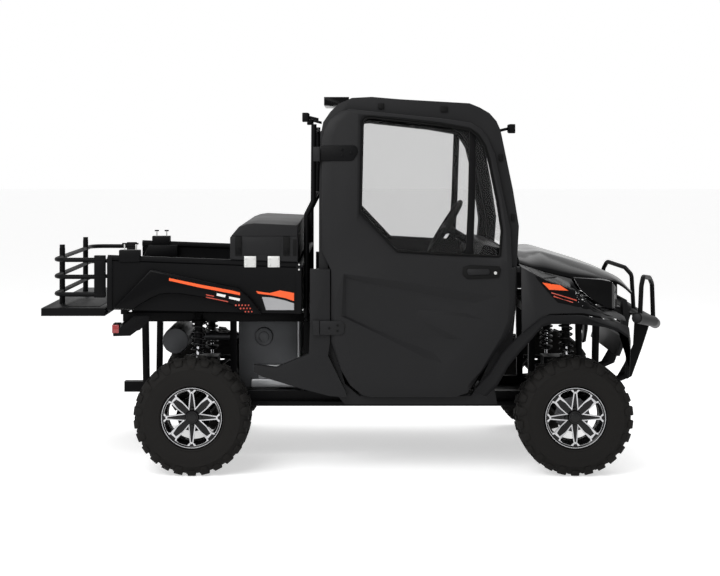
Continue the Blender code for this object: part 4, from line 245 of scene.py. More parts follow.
def settle(piece, sharp=35):
    """Makes a piece's live modifiers part of its mesh."""
    graph = bpy.context.evaluated_depsgraph_get()
    mesh = bpy.data.meshes.new_from_object(piece.evaluated_get(graph))
    name = piece.name
    bpy.data.objects.remove(piece, do_unlink=True)
    return keep(name, mesh, sharp)


def join(name, parts):
    """Puts several pieces into one object and keeps their materials."""
    parts = list(parts)
    with bpy.context.temp_override(active_object=parts[0], object=parts[0], selected_objects=parts,
                                   selected_editable_objects=parts):
        bpy.ops.object.join()
    parts[0].name = name
    parts[0].data.name = name
    return parts[0]


def shifted(piece, name, change):
    """A copy of a piece with its mesh moved, turned or mirrored by a matrix."""
    mesh = piece.data.copy()
    mesh.transform(change)
    if change.determinant() < 0:
        mesh.flip_normals()
    mesh.name = name
    copy = bpy.data.objects.new(name, mesh)
    scene.collection.objects.link(copy)
    return copy


def new_tree(name, sockets):
    """An empty geometry node tree with a geometry in and out and the named inputs."""
    tree = bpy.data.node_groups.new(name, "GeometryNodeTree")
    tree.interface.new_socket("Geometry", in_out="INPUT", socket_type="NodeSocketGeometry")
    tree.interface.new_socket("Geometry", in_out="OUTPUT", socket_type="NodeSocketGeometry")
    for label, kind in sockets.items():
        tree.interface.new_socket(label, in_out="INPUT", socket_type=f"NodeSocket{kind}")
    return tree, add(tree, "NodeGroupInput")


def end_tree(tree, entry, geometry):
    """Closes a tree: makes instances real, sets the material and gives the geometry out."""
    real = add(tree, "GeometryNodeRealizeInstances", {}, {"Geometry": geometry})
    coated = add(tree, "GeometryNodeSetMaterial", {},
                 {"Geometry": real.outputs[0], "Material": entry.outputs["Finish"]})
    add(tree, "NodeGroupOutput", {}, {"Geometry": coated.outputs[0]})
    return tree


def grow(name, seed, tree, sharp=35, **inputs):
    """Runs a tree on a seed, a mesh or a piece that is used up, and keeps the result as a plain piece."""
    source = seed
    if isinstance(seed, bpy.types.Mesh):
        source = bpy.data.objects.new(name, seed)
        scene.collection.objects.link(source)
    source.name = name
    run = source.modifiers.new("run", "NODES")
    run.node_group = tree
    for item in tree.interface.items_tree:
        if item.in_out == "INPUT" and item.name in inputs:
            run[item.identifier] = inputs[item.name]
    source.update_tag()
    bpy.context.view_layer.update()
    return settle(source, sharp)


# Repeats a form in equal turns about the Y axis, or in equal steps along a line.
repeat, entry = new_tree("repeat", {"Count": "Int", "Turn": "Float", "Step": "Vector", "Finish": "Material"})
index = add(repeat, "GeometryNodeInputIndex")
along = add(repeat, "ShaderNodeVectorMath", {}, {"Vector": entry.outputs["Step"], "Scale": index.outputs[0]},
            operation="SCALE")
turned = add(repeat, "ShaderNodeMath", {}, {0: entry.outputs["Turn"], 1: index.outputs[0]},
             operation="MULTIPLY")
angles = add(repeat, "ShaderNodeCombineXYZ", {}, {"Y": turned.outputs[0]})
spots = add(repeat, "GeometryNodePoints", {}, {"Count": entry.outputs["Count"], "Position": along.outputs[0]})
copies = add(repeat, "GeometryNodeInstanceOnPoints", {}, {
    "Points": spots.outputs[0], "Instance": entry.outputs["Geometry"], "Rotation": angles.outputs[0]})
end_tree(repeat, entry, copies.outputs[0])


def lathed(name, profile, material, steps=96, sharp=35):
    """Turns an open (radius, offset) profile about the Y axis."""
    rows = [[(radius * math.sin(math.tau * step / steps), offset, radius * math.cos(math.tau * step / steps))
             for step in range(steps)] for radius, offset in profile]
    return skin(name, rows, material, closed=True, capped=False, sharp=sharp)


def lug(sections, side, stagger):
    """One tread block, from (offset, top, foot, half width) sections across the tread."""
    rows = []
    for offset, top, foot, half in sections:
        row = []
        spread = half * LUG_FOOT_SHARE
        for radius, across in ((top, -half), (top, half), (foot, spread), (foot, -spread)):
            turn = across / TYRE_RADIUS + stagger
            row.append((radius * math.sin(turn), side * offset, radius * math.cos(turn)))
        rows.append(row)
    piece = skin("lug", rows, RUBBER, closed=True)
    edge = piece.modifiers.new("edge", "BEVEL")
    edge.width = LUG_EDGE
    edge.segments = 1
    return settle(piece)


# Vulcanised rubber, moulded: a dull near black with a soft bloom and a fine pebble.
RUBBER = finish("tyre rubber, moulded and vulcanised", "#1a1918", 0.78, 3.0, 0.25, 0.22,
                Specular_IOR_Level=0.12)
profile = CARCASS + [(radius, -offset) for radius, offset in CARCASS[-2::-1]]
# The inner wall is closed a wall's thickness inside the outer one.
inner = [(radius - TYRE_WALL if radius > BEAD_RADIUS else radius, offset * INNER_WIDTH_SHARE)
         for radius, offset in profile]
carcass = lathed("carcass", profile + inner[::-1] + profile[:1], RUBBER, 104)
pitch = math.tau / LUGS
parts = [carcass]
for side in (-1, 1):
    stagger = 0 if side < 0 else pitch / 2
    for sections, count, start in ((SHOULDER_LUG, LUGS // 2, 0), (SHORT_LUG, LUGS // 2, pitch)):
        parts.append(grow("lugs", lug(sections, side, stagger + start), repeat, Count=count, Turn=pitch * 2,
                          Finish=RUBBER))
    parts.append(grow("blocks", lug(CENTRE_BLOCK, side, stagger + pitch / 4), repeat, Count=LUGS, Turn=pitch,
                      Finish=RUBBER))
tyre = join("tyre", parts)
for name, centre in WHEELS.items():
    piece = shifted(tyre, f"tyre_of_{name}", Matrix.Translation(centre))
    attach(piece, f"wheel_{name}")
    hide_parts(f"tyre_{name}")
bpy.data.objects.remove(tyre, do_unlink=True)

# Wheels: one piece cast aluminium wheels, powder coated gloss black and then diamond turned on
# the lip and along the spokes' edges. Four narrow and four wide spokes alternate.
RIM_RADIUS = 0.1685
RIM_HALF = 0.1046
FACE = 0.0926
DISH = 0.020
DISH_FROM_SHARE = 0.80
DISH_RUN_SHARE = 0.55
WEB = 0.012
LINE = 0.0058
PROUD = 0.0012
LAND_FOOT_SHARE = 1.25
SHARPEST_BEND = 0.45
PINHOLE = 0.0001
# (radius, side) places on the barrel, as shares of the rim's radius and half width.
BARREL = [
    (1.0, 1.0), (1.0, 0.955), (0.955, 0.935), (0.93, 0.86), (0.925, 0.60), (0.86, 0.45), (0.86, -0.45),
    (0.925, -0.60), (0.93, -0.86), (1.0, -0.955), (1.0, -1.0), (0.975, -1.0), (0.90, -0.93),
    (0.87, -0.60), (0.82, -0.45), (0.82, 0.45), (0.865, 0.60), (0.88, 0.80), (0.895, 0.90),
    (0.955, 0.965), (0.975, 1.0), (1.0, 1.0)]
# (radius, degrees) places on the face, with the radius as a share of the rim's.
NARROW_FOOT = (0.80, 2.7)
WIDE_FOOT = (0.80, 37.6)
WINDOW_APEX = (0.27, 21.5)
POCKET_ENDS = (8.6, 33.6)
WINDOW = [WINDOW_APEX, (0.78, 4.0), (0.82, 5.2), (0.885, 9.5), (0.885, 16), (0.885, 21), (0.885, 27),
          (0.885, 32.6), (0.82, 36.0), (0.78, 36.6)]


def on_wheel(radius, degrees, lift=0.0):
    """A point on the dished face of the right hand wheel, whose spokes fall back towards the hub."""
    turn = math.radians(degrees)
    depth = FACE + lift - DISH * max(DISH_FROM_SHARE - radius, 0) / DISH_RUN_SHARE
    return Vector((radius * RIM_RADIUS * math.sin(turn), -depth, radius * RIM_RADIUS * math.cos(turn)))


def strip(places, width, material, name="strip"):
    """A flat machined land along a line of (radius, degrees) places on the wheel's face."""
    rows = []
    points = [on_wheel(*place, PROUD) for place in places]
    for number, point in enumerate(points):
        before = (point - points[number - 1]).normalized() if number else Vector()
        after = (points[number + 1] - point).normalized() if number < len(points) - 1 else Vector()
        along = (before + after).normalized()
        across = along.cross(Vector((0, 1, 0))).normalized()
        bend = max(across.dot((after or before).cross(Vector((0, 1, 0))).normalized()), SHARPEST_BEND)
        reach = across * width / 2 / bend
        foot = reach * LAND_FOOT_SHARE
        drop = Vector((0, PROUD * 3, 0))
        rows.append([point - reach, point + reach, point + foot + drop, point - foot + drop])
    return skin(name, rows, material, closed=True, sharp=20)


def triangles(outline, lines=(), holes=(), grid=0):
    """Flat triangles inside a closed outline that keep its inner lines and leave its holes out."""
    loops = [outline, *holes]
    points = []
    edges = []
    for loop in loops:
        start = len(points)
        points += [tuple(point[:2]) for point in loop]
        edges += [(start + step, start + (step + 1) % len(loop)) for step in range(len(loop))]
    for line in lines:
        start = len(points)
        points += [tuple(point[:2]) for point in line]
        edges += [(start + step, start + step + 1) for step in range(len(line) - 1)]
    if grid:
        lows = [min(point[axis] for point in outline) for axis in (0, 1)]
        highs = [max(point[axis] for point in outline) for axis in (0, 1)]
        for column in range(1, int((highs[0] - lows[0]) / grid) + 1):
            for row in range(1, int((highs[1] - lows[1]) / grid) + 1):
                spot = (lows[0] + grid * (column - 0.5), lows[1] + grid * (row - 0.5))
                if inside(spot, outline) and not any(inside(spot, hole) for hole in holes):
                    points.append(spot)
    flat, _, faces, *_ = delaunay_2d_cdt([Vector(point) for point in points], edges, [], 0, 0.00002)
    kept = []
    for face in faces:
        middle = sum((flat[corner] for corner in face), Vector((0, 0))) / len(face)
        if inside(middle, outline) and not any(inside(middle, hole) for hole in holes):
            kept.append(tuple(face))
    return flat, kept


def inside(spot, outline):
    """Whether a flat point lies inside a closed outline."""
    odd = False
    for one, two in zip(outline, list(outline[1:]) + [outline[0]]):
        if (one[1] > spot[1]) != (two[1] > spot[1]):
            if spot[0] < one[0] + (two[0] - one[0]) * (spot[1] - one[1]) / (two[1] - one[1]):
                odd = not odd
    return odd


def thick(name, flat, faces, outer, inner, material, sharp=30):
    """A closed panel from flat triangles, given each point's place on its outer and inner face."""
    count = len(flat)
    points = [outer(point) for point in flat] + [inner(point) for point in flat]
    shell = [tuple(face) for face in faces]
    used = {}
    for face in faces:
        for one, two in zip(face, face[1:] + face[:1]):
            used[(one, two)] = True
    walls = [(one, two, two + count, one + count) for one, two in used if (two, one) not in used]
    shell += [tuple(corner + count for corner in reversed(face)) for face in faces] + walls
    mesh = bpy.data.meshes.new(name)
    mesh.from_pydata(points, [], shell)
    mesh.materials.append(material)
    piece = keep(name, mesh, sharp)
    loose = bmesh.new()
    loose.from_mesh(piece.data)
    bmesh.ops.delete(loose, geom=[vert for vert in loose.verts if not vert.link_faces], context="VERTS")
    loose.to_mesh(piece.data)
    loose.free()
    return piece


# Cast aluminium under gloss black powder coat: deep black with a wet edge and a slight peel.
CAST_BLACK = finish("cast aluminium, gloss black powder coat", "#0e0e0f", 0.24, 4.0, 0.05, 0.2,
                    Coat_Weight=0.1, Coat_Roughness=0.1, Specular_IOR_Level=0.15)
# Diamond turned aluminium under clear lacquer: bright lines with fine turning marks.
TURNED = finish("cast aluminium, diamond turned", "#b8b8ba", 0.26, 2.0, 0.02, 0.06, stretch=(1, 6, 1),
                Metallic=0.85, Coat_Weight=0.3)
barrel = [(radius * RIM_RADIUS, -side * RIM_HALF) for radius, side in BARREL]
parts = [lathed("barrel", barrel, CAST_BLACK)]
parts[0].data.polygons.foreach_set("use_smooth", [True] * len(parts[0].data.polygons))
holes = []
for spoke in range(4):
    for hand in (1, -1):
        turned_window = [(radius, spoke * 90 + hand * degrees) for radius, degrees in WINDOW]
        holes.append([on_wheel(radius, degrees).xz for radius, degrees in turned_window])
edge = [on_wheel(0.90, degrees).xz for degrees in range(0, 360, 6)]
flat, faces = triangles(edge, holes=holes, grid=0.012)


def web_point(lift):
    """Places a flat point on the wheel's face, lifted by some thickness."""
    def place(point):
        radius = point.length / RIM_RADIUS
        return on_wheel(radius, math.degrees(math.atan2(point.x, point.y)), lift)
    return place


parts.append(thick("web", flat, faces, web_point(0), web_point(-WEB), CAST_BLACK, 40))
lines = []
for spoke in range(4):
    base = spoke * 90
    for hand in (1, -1):
        turn = [[(radius, base + hand * degrees) for radius, degrees in line] for line in (
            [NARROW_FOOT, (0.55, 7.2), WINDOW_APEX, (0.55, 31.6), WIDE_FOOT],
            [NARROW_FOOT, (0.93, POCKET_ENDS[0])],
            [WIDE_FOOT, (0.93, POCKET_ENDS[1])],
            [(0.905, degrees) for degrees in (8.6, 12, 16, 20, 24, 28, 33.6)])]
        lines += turn
    lines.append([(NARROW_FOOT[0], base - NARROW_FOOT[1]), (NARROW_FOOT[0], base + NARROW_FOOT[1])])
    lines.append([(WIDE_FOOT[0], base + WIDE_FOOT[1]), (WIDE_FOOT[0], base + 90 - WIDE_FOOT[1])])
parts += [strip(line, LINE, TURNED) for line in lines]
lip = [(radius * RIM_RADIUS, -(RIM_HALF + lift)) for radius, lift in
       ((1.0, -0.003), (1.0, 0.0), (0.978, 0.0), (0.965, -0.003), (1.0, -0.003))]
parts.append(lathed("lip", lip, TURNED, sharp=20))
land = [(radius * RIM_RADIUS, -depth) for radius, depth in
        ((0.955, 0.0985), (0.955, 0.1015), (0.94, 0.1015), (0.94, 0.0985), (0.955, 0.0985))]
parts.append(lathed("land", land, TURNED, sharp=20))
CAP = [(0.0, 0.094), (0.014, 0.0935), (0.024, 0.0925), (0.026, 0.0905), (0.026, 0.084), (0.033, 0.083),
       (0.034, 0.080), (0.034, 0.0665), (0.0, 0.0665)]
parts.append(lathed("cap", [(max(radius, PINHOLE), -depth) for radius, depth in CAP], CAST_BLACK, 48))
NUT_RING = 0.0465
NUT_SIZE = 0.0075
NUT_DEPTHS = (0.066, 0.084)
turns = [math.tau * step / 6 for step in range(6)]
nut = skin("nut", [[(NUT_SIZE * math.sin(turn), -depth, NUT_RING + NUT_SIZE * math.cos(turn))
                    for turn in turns] for depth in NUT_DEPTHS], CAST_BLACK, closed=True)
parts.append(grow("nuts", nut, repeat, Count=4, Turn=math.pi / 2, Finish=CAST_BLACK))
wheel = join("wheel", parts)
for name, centre in WHEELS.items():
    change = Matrix.Translation(centre)
    if name.endswith("left"):
        change = change @ Matrix.Scale(-1, 4, (0, 1, 0))
    piece = shifted(wheel, f"wheel_of_{name}", change)
    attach(piece, f"wheel_{name}")
    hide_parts(f"rim_{name}")
bpy.data.objects.remove(wheel, do_unlink=True)

# Frame, arms and drive: welded square tube and tubular arms, black powder coated, with cast
# uprights and turned brake discs. Weld toes and folds leave every edge slightly rounded.
# Black powder coat on welded steel: a satin skin with orange peel about two millimetres wide.
COATED = finish("mild steel, black powder coat", "#0c0c0d", 0.42, 3.0, 0.12, 0.2, Specular_IOR_Level=0.06)
# Cast iron and turned steel: a grey metal with a sandy skin.
CAST_IRON = finish("cast iron, sand cast", "#6d6d70", 0.5, 2.5, 0.2, 0.25, Metallic=0.8)


def soften(node, name, width, material, segments=2, angle=35):
    """A CAD node's solid with its loose triangles merged and its edges rounded to a width."""
    shape = bmesh.new()
    shape.from_mesh(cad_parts[node].data)
    bmesh.ops.remove_doubles(shape, verts=shape.verts, dist=0.00002)
    bmesh.ops.dissolve_limit(shape, angle_limit=math.radians(1), verts=shape.verts, edges=shape.edges)
    mesh = bpy.data.meshes.new(name)
    shape.to_mesh(mesh)
    shape.free()
    mesh.materials.clear()
    mesh.materials.append(material)
    piece = keep(name, mesh)
    rounding = piece.modifiers.new("rounding", "BEVEL")
    rounding.width = width
    rounding.segments = segments
    rounding.limit_method = "ANGLE"
    rounding.angle_limit = math.radians(angle)
    piece = settle(piece, 40)
    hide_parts(node)
    return piece


def carried(piece, body):
    """Makes a piece ride on a body."""
    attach(piece, body)
    return piece


for node, width in (("chassis_frame", 0.004), ("rear_subframe", 0.004), ("front_tower", 0.004),
                    ("front_suspension", 0.004), ("rear_suspension", 0.004), ("skid_plate", 0.002)):
    carried(soften(node, f"{node}_coated", width, COATED), "body")
for side in ("left", "right"):
    carried(soften(f"knuckle_{side}", f"upright_{side}", 0.003, CAST_IRON), f"knuckle_{side}")

# Shock absorbers: coil springs of black coated wire round gas dampers, with threaded seats and
# rubber bushed eyes, bolted between the upper arm and the frame's tower.
WIRE = 0.011
COILS = 7.5
COIL_RADIUS = 0.0345
SPRING_SHARES = (0.20, 0.86)
EYE_SIZE = 0.034
FOOT_OUT = 0.45
HEAD_OUT = 0.3723
# Spring steel under gloss black paint: a hard highlight along each coil.
SPRING = finish("spring steel, gloss black enamel", "#111112", 0.28, 5.0, 0.05, 0.15, Coat_Weight=0.1,
                Specular_IOR_Level=0.15)
# Hard chromed rod: a bright mirror with faint grinding marks.
CHROME = finish("steel rod, hard chromed", "#c9c9cc", 0.18, 1.5, 0.01, 0.08, stretch=(1, 1, 5), Metallic=1.0)

coil, entry = new_tree("coil", {"Turns": "Float", "Radius": "Float", "Height": "Float", "Wire": "Float",
                                "Finish": "Material"})
helix = add(coil, "GeometryNodeCurveSpiral", {"Resolution": 22},
            {"Rotations": entry.outputs["Turns"], "Start Radius": entry.outputs["Radius"],
             "End Radius": entry.outputs["Radius"], "Height": entry.outputs["Height"]})
thin = add(coil, "ShaderNodeMath", {1: 0.5}, {0: entry.outputs["Wire"]}, operation="MULTIPLY")
section = add(coil, "GeometryNodeCurvePrimitiveCircle", {"Resolution": 10}, {"Radius": thin.outputs[0]})
wire = add(coil, "GeometryNodeCurveToMesh", {"Fill Caps": True},
           {"Curve": helix.outputs[0], "Profile Curve": section.outputs[0]})
end_tree(coil, entry, wire.outputs[0])


def shock_parts(foot, head):
    """Spring, damper, seats and eyes of one shock absorber between two points."""
    length = (head - foot).length
    stand = Matrix.Translation(foot) @ (head - foot).to_track_quat("Z", "Y").to_matrix().to_4x4()
    low, high = (length * share for share in SPRING_SHARES)
    spring = grow("spring", bpy.data.meshes.new("seed"), coil, Turns=COILS, Radius=COIL_RADIUS,
                  Height=high - low, Wire=WIRE, Finish=SPRING)
    spring.data.transform(Matrix.Translation((0, 0, low)))
    parts = [spring]
    for profile, material in (
            (((0.0, 0.5), (0.023, 0.5), (0.023, 0.985), (0.0, 0.985)), COATED),
            (((0.0, 0.02), (0.009, 0.02), (0.009, 0.6), (0.0, 0.6)), CHROME),
            (((0.0, 0.165), (0.030, 0.165), (0.041, 0.185), (0.041, 0.20), (0.0, 0.20)), COATED),
            (((0.0, 0.86), (0.041, 0.86), (0.041, 0.875), (0.027, 0.90), (0.0, 0.90)), COATED)):
        outline = [(max(radius, PINHOLE), length * level) for radius, level in profile]
        piece = lathed("stage", outline, material, 24)
        piece.data.transform(Matrix.Rotation(math.radians(90), 4, "X"))
        parts.append(piece)
    for piece in parts:
        piece.data.transform(stand)
    reach = EYE_SIZE / 2
    for point in (foot, head):
        outline = [(PINHOLE, -reach), (reach, -reach), (reach, reach), (PINHOLE, reach)]
        eye = lathed("eye", outline, COATED, 20)
        eye.data.transform(Matrix.Translation(point) @ Matrix.Rotation(math.radians(90), 4, "Z"))
        parts.append(eye)
    return parts


for name, centre in WHEELS.items():
    low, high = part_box(f"shock_{name}")
    side = 1 if centre[1] > 0 else -1
    reach = EYE_SIZE / 2
    foot = Vector((centre[0], side * FOOT_OUT, low.z + reach))
    head = Vector((centre[0], side * HEAD_OUT, high.z - reach))
    piece = join(f"coil_over_{name}", shock_parts(foot, head))
    carried(piece, "body")
    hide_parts(f"shock_{name}")

# Engine: one cast aluminium block behind the cab, with its silencer can of aluminised steel
# lying across the frame behind it.
# Cast aluminium, sand cast: a soft grey metal with a coarse skin, darkened by heat and dust.
CAST_ALLOY = finish("cast aluminium, sand cast", "#4a4b4d", 0.5, 4.0, 0.3, 0.3, Metallic=0.7)
carried(soften("engine_block", "engine_casting", 0.010, CAST_ALLOY, 3), "body")

# Cab frame: two door rings of moulded charcoal plastic over steel tube, tied across the roof
# and the sills. Small dark clips hold the plastic to the tube.
# Moulded ABS, charcoal: an even dark grey with a fine spark eroded grain.
MOULDED = finish("ABS, injection moulded charcoal", "#1c1c1d", 0.46, 2.5, 0.08, 0.08, Specular_IOR_Level=0.12)
# Polycarbonate, solid sheet: clear with a grey tint, and glossy both sides.
PANE = finish("polycarbonate sheet, grey tint", "#0c0d0d", 0.06, 60.0, 0.02, 0.05, Alpha=0.13)
PANE.surface_render_method = "BLENDED"
# Rubber extrusion: a dull black bead.
SEAL = finish("EPDM rubber, extruded", "#0b0b0b", 0.6, 2.0, 0.05, 0.1, Specular_IOR_Level=0.1)
carried(soften("cab_frame", "door_rings", 0.010, MOULDED, 3), "body")
carried(soften("rear_panel", "rear_wall", 0.006, MOULDED), "body")
for node in ("windscreen", "rear_glass", "door_glass_left", "door_glass_right"):
    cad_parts[node].data.materials[0] = PANE

# Doors: hard doors moulded in one piece each, with a pressed recess in the lower half that a
# wedge divides, and hung at the rear on two black straps.
CAB_REAR = -0.206
CAB_LENGTH = 1.083
BELT = 1.110
CAB_RISE = 0.924
DOOR_REAR = -0.140
DOOR_LENGTH = 0.993
DOOR_BASE = 0.417
DOOR_RISE = 0.709
DOOR_HALF_WIDTH = 0.715
DOOR_DEPTH = 0.044
SWELL = 0.012
SWELL_START = 0.05
SWELL_RUN = 0.08
LEAN = 0.080
EDGE_FALL = 0.014
UPPER_FALL = 0.006
WINDOW_FALL = 0.013
LOWER_SHARES = [
    (0.0, 0.96), (0.0, 0.424), (0.054, 0.205), (0.103, 0.09), (0.168, 0.015), (0.222, 0.0), (0.67, 0.0),
    (0.74, 0.034), (0.805, 0.174), (0.86, 0.273), (0.903, 0.356), (0.94, 0.432), (0.968, 0.508),
    (0.99, 0.62), (1.0, 0.98)]
UPPER_SHARES = [
    (0.9575, 0.0), (0.953, 0.22), (0.923, 0.396), (0.878, 0.66), (0.842, 0.76), (0.807, 0.811),
    (0.757, 0.847), (0.607, 0.872), (0.405, 0.895), (0.155, 0.926), (0.105, 0.91), (0.055, 0.86),
    (0.03, 0.81), (0.015, 0.745), (0.015, 0.39), (0.015, 0.10)]
WINDOW_SHARES = [
    (0.39, 0.098), (0.21, 0.322), (0.22, 0.82), (0.222, 0.85), (0.235, 0.871), (0.27, 0.874),
    (0.31, 0.868), (0.406, 0.856), (0.607, 0.83), (0.757, 0.80), (0.797, 0.762), (0.827, 0.704),
    (0.85, 0.60), (0.885, 0.39), (0.907, 0.216), (0.897, 0.069), (0.62, 0.083)]
# Places in the picture of the door's creases, and the upright planes that they lie near.
SKIN_PLANE = -0.725
RECESS_PLANE = -0.72
BELT_PLANE = -0.71
REAR_PLANE = -0.70
RECESS_FLOOR = [
    (346, 278), (371, 284.5), (409.3, 291), (447.6, 298.5), (475.6, 303), (466, 313.5), (419, 310.2),
    (416, 315), (419, 320.6), (428.4, 328), (442.4, 336.3), (447.5, 338.5), (434, 352.9),
    (396.5, 338.9), (371, 328), (346, 316.5)]
RECESS_EDGE = [
    (421, 311.8), (482, 319.5), (498, 296), (454, 290.4), (414.4, 283.4), (343.6, 273.8), (341.5, 316.5),
    (371, 330.6), (396.5, 343.6), (427, 358.6), (442.4, 363.5), (449, 360), (463.8, 340), (421, 319.8)]
RECESS_DEPTH = 0.024
RECESS_END_SHARE = 0.8
BELT_LEDGE = [
    (357, 222), (391, 257), (440, 259.5), (470, 263), (500, 266), (507, 262), (506, 230), (502, 200),
    (497, 180), (492, 160), (487, 144), (480, 133), (470, 126.5), (440, 121), (400, 116.5), (358, 113.5),
    (357, 222)]
PLATEAU = [
    (341, 262), (335, 300), (334.5, 342), (355, 375), (365, 386.5), (440, 387.5), (468, 385.5),
    (481, 371), (492, 352), (501, 337), (507.5, 321), (509.5, 300), (508.5, 272)]
REAR_CREASE = [(332, 240), (334, 161), (334, 135), (340, 122), (350, 112)]


def share_outline(shares, start, length, base, rise):
    """(X, Z) places from shares of a length and a height."""
    return [(start + length * along, base + rise * up) for along, up in shares]


def side_reach(height):
    """Distance of the cab's side from the middle, which leans in above the belt."""
    return DOOR_HALF_WIDTH - LEAN * max(height - BELT, 0) / CAB_RISE


def at_depth(outline, depth):
    """Gives every place of an outline one depth below the skin."""
    return [(x, z, depth) for x, z in outline]


def rounded(piece, width, segments=2, angle=20, sharp=30):
    """Merges a piece's flat facets and rounds its edges to a width."""
    shape = bmesh.new()
    shape.from_mesh(piece.data)
    bmesh.ops.dissolve_limit(shape, angle_limit=math.radians(1), verts=shape.verts, edges=shape.edges)
    shape.to_mesh(piece.data)
    shape.free()
    rounding = piece.modifiers.new("rounding", "BEVEL")
    rounding.width = width
    rounding.segments = segments
    rounding.limit_method = "ANGLE"
    rounding.angle_limit = math.radians(angle)
    return settle(piece, sharp)


def relief(name, outline, lines, material, outer, inner, holes=(), width=0.002):
    """A moulded panel whose outline, creases and holes are (X, Z, depth) places."""
    known = [place for line in (outline, *lines, *holes) for place in line]
    flat, faces = triangles(outline, lines, holes)

    def depth_of(point):
        return min(known, key=lambda place: (place[0] - point.x) ** 2 + (place[1] - point.y) ** 2)[2]

    return rounded(thick(name, flat, faces, lambda point: outer(point.x, point.y, depth_of(point)),
                         lambda point: inner(point.x, point.y), material), width)


def door_outer(x, z, depth):
    """A point of the right door's skin, which swells below the belt."""
    swell = SWELL * min(max((BELT + SWELL_START - z) / SWELL_RUN, 0), 1)
    return (x, -(side_reach(z) + swell - depth), z)


def door_inner(x, z):
    """A point of the right door's inner face."""
    return (x, -(side_reach(z) - DOOR_DEPTH), z)


lower = share_outline(LOWER_SHARES, DOOR_REAR, DOOR_LENGTH, DOOR_BASE, DOOR_RISE)
upper = share_outline(UPPER_SHARES, CAB_REAR, CAB_LENGTH, BELT, CAB_RISE)
window = share_outline(WINDOW_SHARES, CAB_REAR, CAB_LENGTH, BELT, CAB_RISE)
outline = at_depth(lower, EDGE_FALL) + at_depth(upper, UPPER_FALL)
creases = [at_depth(seen(RECESS_FLOOR + RECESS_FLOOR[:1], RECESS_PLANE), RECESS_DEPTH)]
creases += [at_depth(seen(crease, plane), 0.0) for crease, plane in (
    (BELT_LEDGE, BELT_PLANE), (PLATEAU, SKIN_PLANE), (REAR_CREASE, REAR_PLANE))]
edge_line = at_depth(seen(RECESS_EDGE, SKIN_PLANE), 0.0)
ends = [(*edge_line[end][:2], RECESS_DEPTH * RECESS_END_SHARE) for end in (0, -1)]
creases.append([ends[0], *edge_line[1:-1], ends[1]])
door_skin = relief("door_skin", outline, creases, MOULDED, door_outer, door_inner,
                   [at_depth(window, WINDOW_FALL)])
for side, hand in (("right", 1), ("left", -1)):
    piece = shifted(door_skin, f"door_shell_{side}", Matrix.Scale(hand, 4, (0, 1, 0)))
    carried(piece, f"door_{side}")
    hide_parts(f"door_{side}")
bpy.data.objects.remove(door_skin, do_unlink=True)

# A round bar along a line of points, with its corners bent to a radius.
bar, entry = new_tree("bar", {"Diameter": "Float", "Bend": "Float", "Sides": "Int", "Finish": "Material"})
line = add(bar, "GeometryNodeMeshToCurve", {}, {"Mesh": entry.outputs["Geometry"]})
bent = add(bar, "GeometryNodeFilletCurve", {"Count": 6, "Limit Radius": True},
           {"Curve": line.outputs[0], "Radius": entry.outputs["Bend"]}, mode="POLY")
thin = add(bar, "ShaderNodeMath", {1: 0.5}, {0: entry.outputs["Diameter"]}, operation="MULTIPLY")
section = add(bar, "GeometryNodeCurvePrimitiveCircle", {},
              {"Radius": thin.outputs[0], "Resolution": entry.outputs["Sides"]})
round_bar = add(bar, "GeometryNodeCurveToMesh", {"Fill Caps": True},
                {"Curve": bent.outputs[0], "Profile Curve": section.outputs[0]})
end_tree(bar, entry, round_bar.outputs[0])


def rod(path, diameter, material, bend=0.02, sides=14, looped=False):
    """A round bar along a path, bent at its corners. A looped path meets itself."""
    mesh = bpy.data.meshes.new("rod")
    count = len(path)
    edges = [(step, (step + 1) % count) for step in range(count if looped else count - 1)]
    mesh.from_pydata([tuple(point) for point in path], edges, [])
    return grow("rod", mesh, bar, Diameter=diameter, Bend=bend, Sides=sides, Finish=material)


def on_side(x, z, depth):
    """A point of the cab's right side, at a depth below the doors' skin."""
    return (x, -(side_reach(z) - depth), z)


def plate(outline, place, low, high, material, width=0.002):
    """A plate over an (X, Z) outline between two depths of a surface, with rounded edges."""
    rows = [[place(x, z, depth) for x, z in outline] for depth in (low, high)]
    return rounded(skin("plate", rows, material, closed=True), width)


def button(x, z, radius, place, low, high, material, sides=16):
    """A round head that stands on a surface."""
    turns = [math.tau * (step + 0.5) / sides for step in range(sides)]
    outline = [(x + radius * math.cos(turn), z + radius * math.sin(turn)) for turn in turns]
    return plate(outline, place, low, high, material, radius * 0.15)


def both_sides(parts, name, bodies):
    """Joins right hand parts, and keeps them and their mirror image, each on its own body."""
    piece = join(name, parts)
    for side, body, hand in (("right", bodies[0], 1), ("left", bodies[1], -1)):
        carried(shifted(piece, f"{name}_{side}", Matrix.Scale(hand, 4, (0, 1, 0))), body)
    bpy.data.objects.remove(piece, do_unlink=True)


# Zinc plated steel: pale grey with a soft sheen.
ZINC = finish("mild steel, zinc plated", "#c6c6c4", 0.38, 2.0, 0.03, 0.08, Metallic=0.35)
DOORS = ("door_right", "door_left")
STRAP_PLANE = -0.67
STRAP = [
    (320.4, 145.6), (354, 145.2), (356.8, 146.8), (357.8, 150), (357.5, 153.6), (353.2, 159.6),
    (350.5, 160.6), (320.4, 160.8)]
STRAP_BOLTS = [(342, 149.6), (342, 155.6), (351, 152.8)]
LOWER_STRAP = [
    (-0.1995, 0.752), (-0.082, 0.752), (-0.066, 0.770), (-0.066, 0.810), (-0.082, 0.828), (-0.1995, 0.828)]
LOWER_BOLTS = ((-0.105, 0.775), (-0.105, 0.805), (-0.150, 0.790))
CUP_PLANE = -0.73
CUP = [(463, 267.5), (470, 265.2), (499.5, 266.3), (501.5, 270), (499, 278), (467, 279.2), (462.6, 275)]
LOCK = (495.5, 273)
GRIP_PLANE = -0.735
